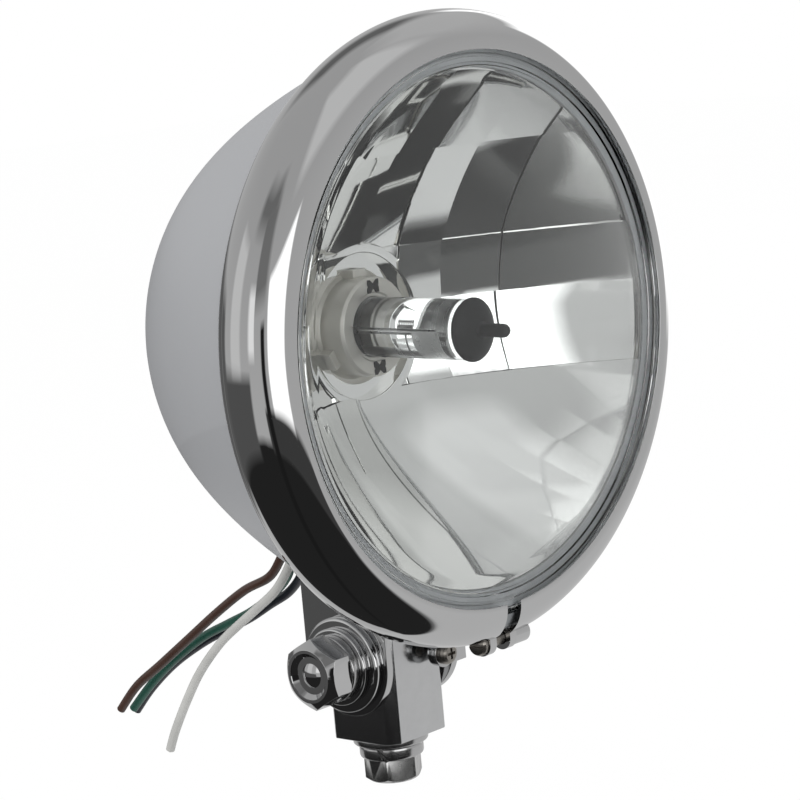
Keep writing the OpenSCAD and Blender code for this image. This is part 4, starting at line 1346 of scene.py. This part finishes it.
@dataclass
class Lead:
    """One free lead, its jacket and its bared end."""

    name: str
    node: str
    finish: Jacket
    offset: Point
    route: tuple[Place, ...]
    diameter: float = 2.6 * MM
    spans: int = 6

    def points(self, housing: Housing) -> list[Vector]:
        """Points along the lead, from inside the grommet to its end."""
        origin, out, side = housing.exit_frame()
        up = out.cross(side)
        start = [origin + side * self.offset[0] * MM + up * self.offset[1] * MM + out * h * MM
                 for h in (-8, -2, 4, 10)]
        keys = start + [Vector(p) * MM for p in self.route]
        last = len(keys) - 1
        found = []
        for i in range(last):
            a, b, c, d = (keys[max(0, min(i + k, last))] for k in (-1, 0, 1, 2))
            for k in range(self.spans):
                t = k / self.spans
                found.append(0.5 * (2 * b + (c - a) * t + (2 * a - 5 * b + 4 * c - d) * t * t
                                    + (3 * b - a - 3 * c + d) * t ** 3))
        return found + [keys[-1]]

    def build(self, housing: Housing) -> None:
        path = self.points(housing)
        jacket = SHOP.tube(self.name, path, self.diameter / 2)
        SHOP.fit(jacket, self.finish, self.node)
        ahead = (path[-1] - path[-2]).normalized()
        core = SHOP.tube(self.name + "_core", [path[-1] + ahead * h * MM for h in (-1, 0.4)],
                         0.75 * MM)
        SHOP.fit(core, COPPER)


@dataclass
class Harness:
    """The four leads, each with its place in the grommet and its route outside the bowl."""

    pitch: float = 3.6
    routes: tuple[tuple[str, Jacket, Point, tuple[Place, ...]], ...] = (
        ("brown", BROWN_JACKET, (-1, -1),
         ((-1, 35, 45), (0, 41, 39.5), (0, 51, 35), (0, 63, 27.5), (0, 76, 18.5), (0, 89, 9.5),
          (0, 100, 2), (0, 108, -6))),
        ("green", GREEN_JACKET, (1, -1),
         ((3, 34, 45), (4.5, 38.5, 38.5), (5, 46, 32.5), (5, 54, 27.5), (5, 64, 23), (5, 75, 18),
          (5, 88, 10), (5, 99, 1.5), (5, 108, -7))),
        ("blue", BLUE_JACKET, (1, 1),
         ((4.5, 31, 43.5), (7, 36, 38), (8.5, 42.5, 33), (8.5, 50, 29), (8, 58, 24.5),
          (8, 67, 20.5), (8, 78, 15.5), (8, 91, 8), (8, 102, -0.5), (8, 110, -8.5))),
        ("white", WHITE_JACKET, (-1, 1),
         ((-3, 30.5, 43), (-4, 35, 37), (-5, 42, 31.5), (-5, 50, 26), (-5, 58, 20), (-5, 67, 11),
          (-5, 74, 1.5), (-5, 80, -8), (-5, 83, -14))),
    )

    def build(self, housing: Housing) -> None:
        """Builds every lead."""
        h = self.pitch / 2
        for hue, finish, (side, up), route in self.routes:
            Lead(hue + "_cord", hue + "_lead", finish, (side * h, up * h), route).build(housing)


@dataclass
class Studio:
    """Camera, lamps, floor and tent.

    Angles run from the front, positive to the right, and in degrees. A patch of the tent says where
    it spans round and up, how bright it is, and how soft its edge is.
    """

    yaw: float = -47.61
    pitch: float = 8.99
    roll: float = -5.08
    eye: Place = (-0.5777, -0.5417, 0.2158)
    middle: Place = (0.0, -0.02, 0.10)
    aim: Place = (0.0, -0.02, 0.09)
    lamp_size: float = 0.8
    lamps: tuple[tuple[str, Place, float], ...] = (
        ("key", (-0.9, -0.7, 1.1), 1.7), ("fill", (0.9, -0.9, 0.7), 3.0),
        ("rim", (-0.4, 1.1, 0.9), 0.9))
    light: float = 0.67
    shown: float = 0.33
    floor_z: float = -0.075
    floor_w: float = 6.0
    tent_r: float = 2.0
    tent_floor: float = -0.07
    tent_shade: Point = (0.56, -0.08)
    patches: tuple[tuple[Point, Point, float, float], ...] = (
        ((-80, -45), (15, 44), 0.22, 8.0),
        ((125, 165), (32, 52), 0.16, 10.0),
        ((-112, -50), (38, 52), 0.20, 10.0),
        ((145, 181), (-28, 6), 0.13, 6.0),
        ((-181, -165), (-28, 6), 0.13, 6.0),
        ((-168, 27), (-91, -22), 0.022, 3.0),
        ((27, 168), (-91, -22), 0.62, 8.0),
        ((50, 118), (30, 68), 0.60, 18.0),
        ((-15, 48), (34, 75), 0.72, 10.0),
        ((-168, -100), (-26, -6), 0.11, 4.0),
        ((-60, 27), (-24, -14), 0.06, 2.0),
        ((-39, 5), (-14, 18), 1.8, 3.0),
        ((85, 125), (-8, 28), 1.6, 4.0),
        ((-145, -120), (-5, 30), 0.75, 5.0),
        ((-100, -80), (0, 20), 1.1, 5.0),
        ((-56, -47), (-91, 8), 0.016, 3.0),
    )

    def camera(self) -> None:
        """Places the camera as the photograph was taken."""
        data = bpy.data.cameras.new("camera")
        data.lens = 135.0
        data.sensor_width = 36.0
        data.sensor_fit = "HORIZONTAL"
        data.clip_start = 0.01
        eye = SHOP.added("camera", data)
        a, e, k = (math.radians(v) for v in (self.yaw, self.pitch, self.roll))
        back = Vector((math.sin(a) * math.cos(e), -math.cos(a) * math.cos(e), math.sin(e)))
        right0 = Vector((math.cos(a), math.sin(a), 0))
        up0 = back.cross(right0)
        right = math.cos(k) * right0 + math.sin(k) * up0
        up = -math.sin(k) * right0 + math.cos(k) * up0
        turn = Matrix((right, up, back)).transposed().to_4x4()
        eye.matrix_world = Matrix.Translation(self.eye) @ turn
        bpy.context.scene.camera = eye

    def lamp(self, name: str, place: Place, power: float) -> None:
        """A soft square lamp, unseen in metal and glass, that looks at the headlight."""
        data = bpy.data.lights.new(name, "AREA")
        data.shape = "SQUARE"
        data.size = self.lamp_size
        data.energy = power
        lit = SHOP.added(name, data)
        lit.location = place
        lit.rotation_euler = (Vector(place) - Vector(self.aim)).to_track_quat("Z", "Y").to_euler()
        lit.visible_glossy = False
        lit.visible_transmission = False

    @staticmethod
    def seen(bench: Bench) -> Value:
        """1 for camera, glossy and transmission rays, else 0."""
        ray = bench.add("ShaderNodeLightPath")
        return (ray[0] + ray[3] + ray[5]).clamped()

    def room(self) -> None:
        """White surroundings that metal and glass show too."""
        world = bpy.data.worlds.new("studio")
        world.use_nodes = True
        bpy.context.scene.world = world
        bench = Bench(world.node_tree)
        strength = self.seen(bench) * self.shown + self.light
        glow = bench.add("ShaderNodeBackground", {}, {"Color": WHITE, "Strength": strength})[0]
        bench.out(glow, "ShaderNodeOutputWorld")

    @staticmethod
    def backdrop(name: str, material: str) -> tuple[Thing, Bench]:
        """Names the active object and gives it a new material, whose bench comes with it."""
        piece = SHOP.named(name)
        made = bpy.data.materials.new(material)
        made.use_nodes = True
        piece.data.materials.append(made)
        return piece, Bench(made.node_tree)

    def floor(self) -> None:
        """A pale floor that stays white to the eye and keeps a soft shadow."""
        SHOP.clear()
        bpy.ops.mesh.primitive_plane_add(size=self.floor_w, location=(0, 0, self.floor_z))
        ground, bench = self.backdrop("studio_floor", "floor_paper")
        fibre = bench.noise(40.0, 3.0)
        tone = bench.tint(fibre, (0.93, 0.93, 0.93), (0.95, 0.95, 0.95))
        matt = bench.add("ShaderNodeBsdfPrincipled", {}, {"Base Color": tone, "Roughness": 0.9})[0]
        white = bench.add("ShaderNodeEmission", {}, {"Color": WHITE, "Strength": 1.0})[0]
        share = self.seen(bench) * 0.93
        bench.out(bench.add("ShaderNodeMixShader", {}, {0: share, 1: matt, 2: white})[0])

    def tent(self) -> None:
        """A closed tent that only metal and glass see: grey above, dark below, white windows."""
        SHOP.clear()
        bpy.ops.mesh.primitive_uv_sphere_add(segments=96, ring_count=64, radius=self.tent_r,
                                             location=self.middle)
        tent, bench = self.backdrop("studio_tent", "tent_cloth")
        for v in tent.data.vertices:
            v.co.z = max(v.co.z, self.tent_floor - self.middle[2])
        x, y, z = bench.add("ShaderNodeSeparateXYZ", {}, {0: bench.spot()})
        round_by = x.angle_from(y * -1.0)
        up_by = z.angle_from((x * x + y * y) ** 0.5)
        even, slope = self.tent_shade
        tone = up_by.within(12.0, 200.0, 60.0) * slope + even
        for across, upward, shade, soft in self.patches:
            mask = round_by.within(*across, soft) * up_by.within(*upward, soft)
            tone = tone * (1 - mask) + mask * shade
        glow = bench.add("ShaderNodeCombineColor", {}, {0: tone, 1: tone, 2: tone})[0]
        bench.out(bench.add("ShaderNodeEmission", {}, {"Color": glow, "Strength": 1.0})[0])
        tent.data.materials[0].cycles.emission_sampling = "NONE"
        tent.visible_camera = False
        tent.visible_diffuse = False
        tent.visible_shadow = False

    def build(self) -> None:
        """Sets the whole studio."""
        self.camera()
        self.room()
        self.floor()
        self.tent()
        for name, place, power in self.lamps:
            self.lamp(name, place, power)
        bpy.context.scene.view_settings.view_transform = "Standard"


KEPT: dict[str, Finish] = {
    "grommet": GROMMET_RUBBER, "ring_tongue": TONGUE_DULL, "filament_frame": WIRE_STEEL,
    "bulb_insulator": CERAMIC,
    "top_blade": BLADE_BRASS, "left_blade": BLADE_BRASS, "right_blade": BLADE_BRASS,
    "bulb_clip": WIRE_STEEL, "bulb_boot": BOOT_RUBBER, "connector": CONNECTOR_PLASTIC,
}


def dress_kept() -> None:
    """Gives the CAD nodes that stay their finishes."""
    for name, finish in KEPT.items():
        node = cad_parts[name]
        node.data.materials.clear()
        node.data.materials.append(finish.material())
        log.info("%s kept with %s", name, finish.name)


def main() -> None:
    """Builds the headlight, part by part, and its studio."""
    logging.basicConfig(level=logging.INFO, format="%(name)s: %(message)s")
    Studio().build()
    unit = LampUnit()
    housing = Housing()
    Harness().build(housing)
    housing.build(unit)
    TrimRing().build()
    unit.build()
    Bulb().build(unit)
    Hardware().build()
    dress_kept()
    SHOP.clear()


if __name__ == "__main__":
    main()
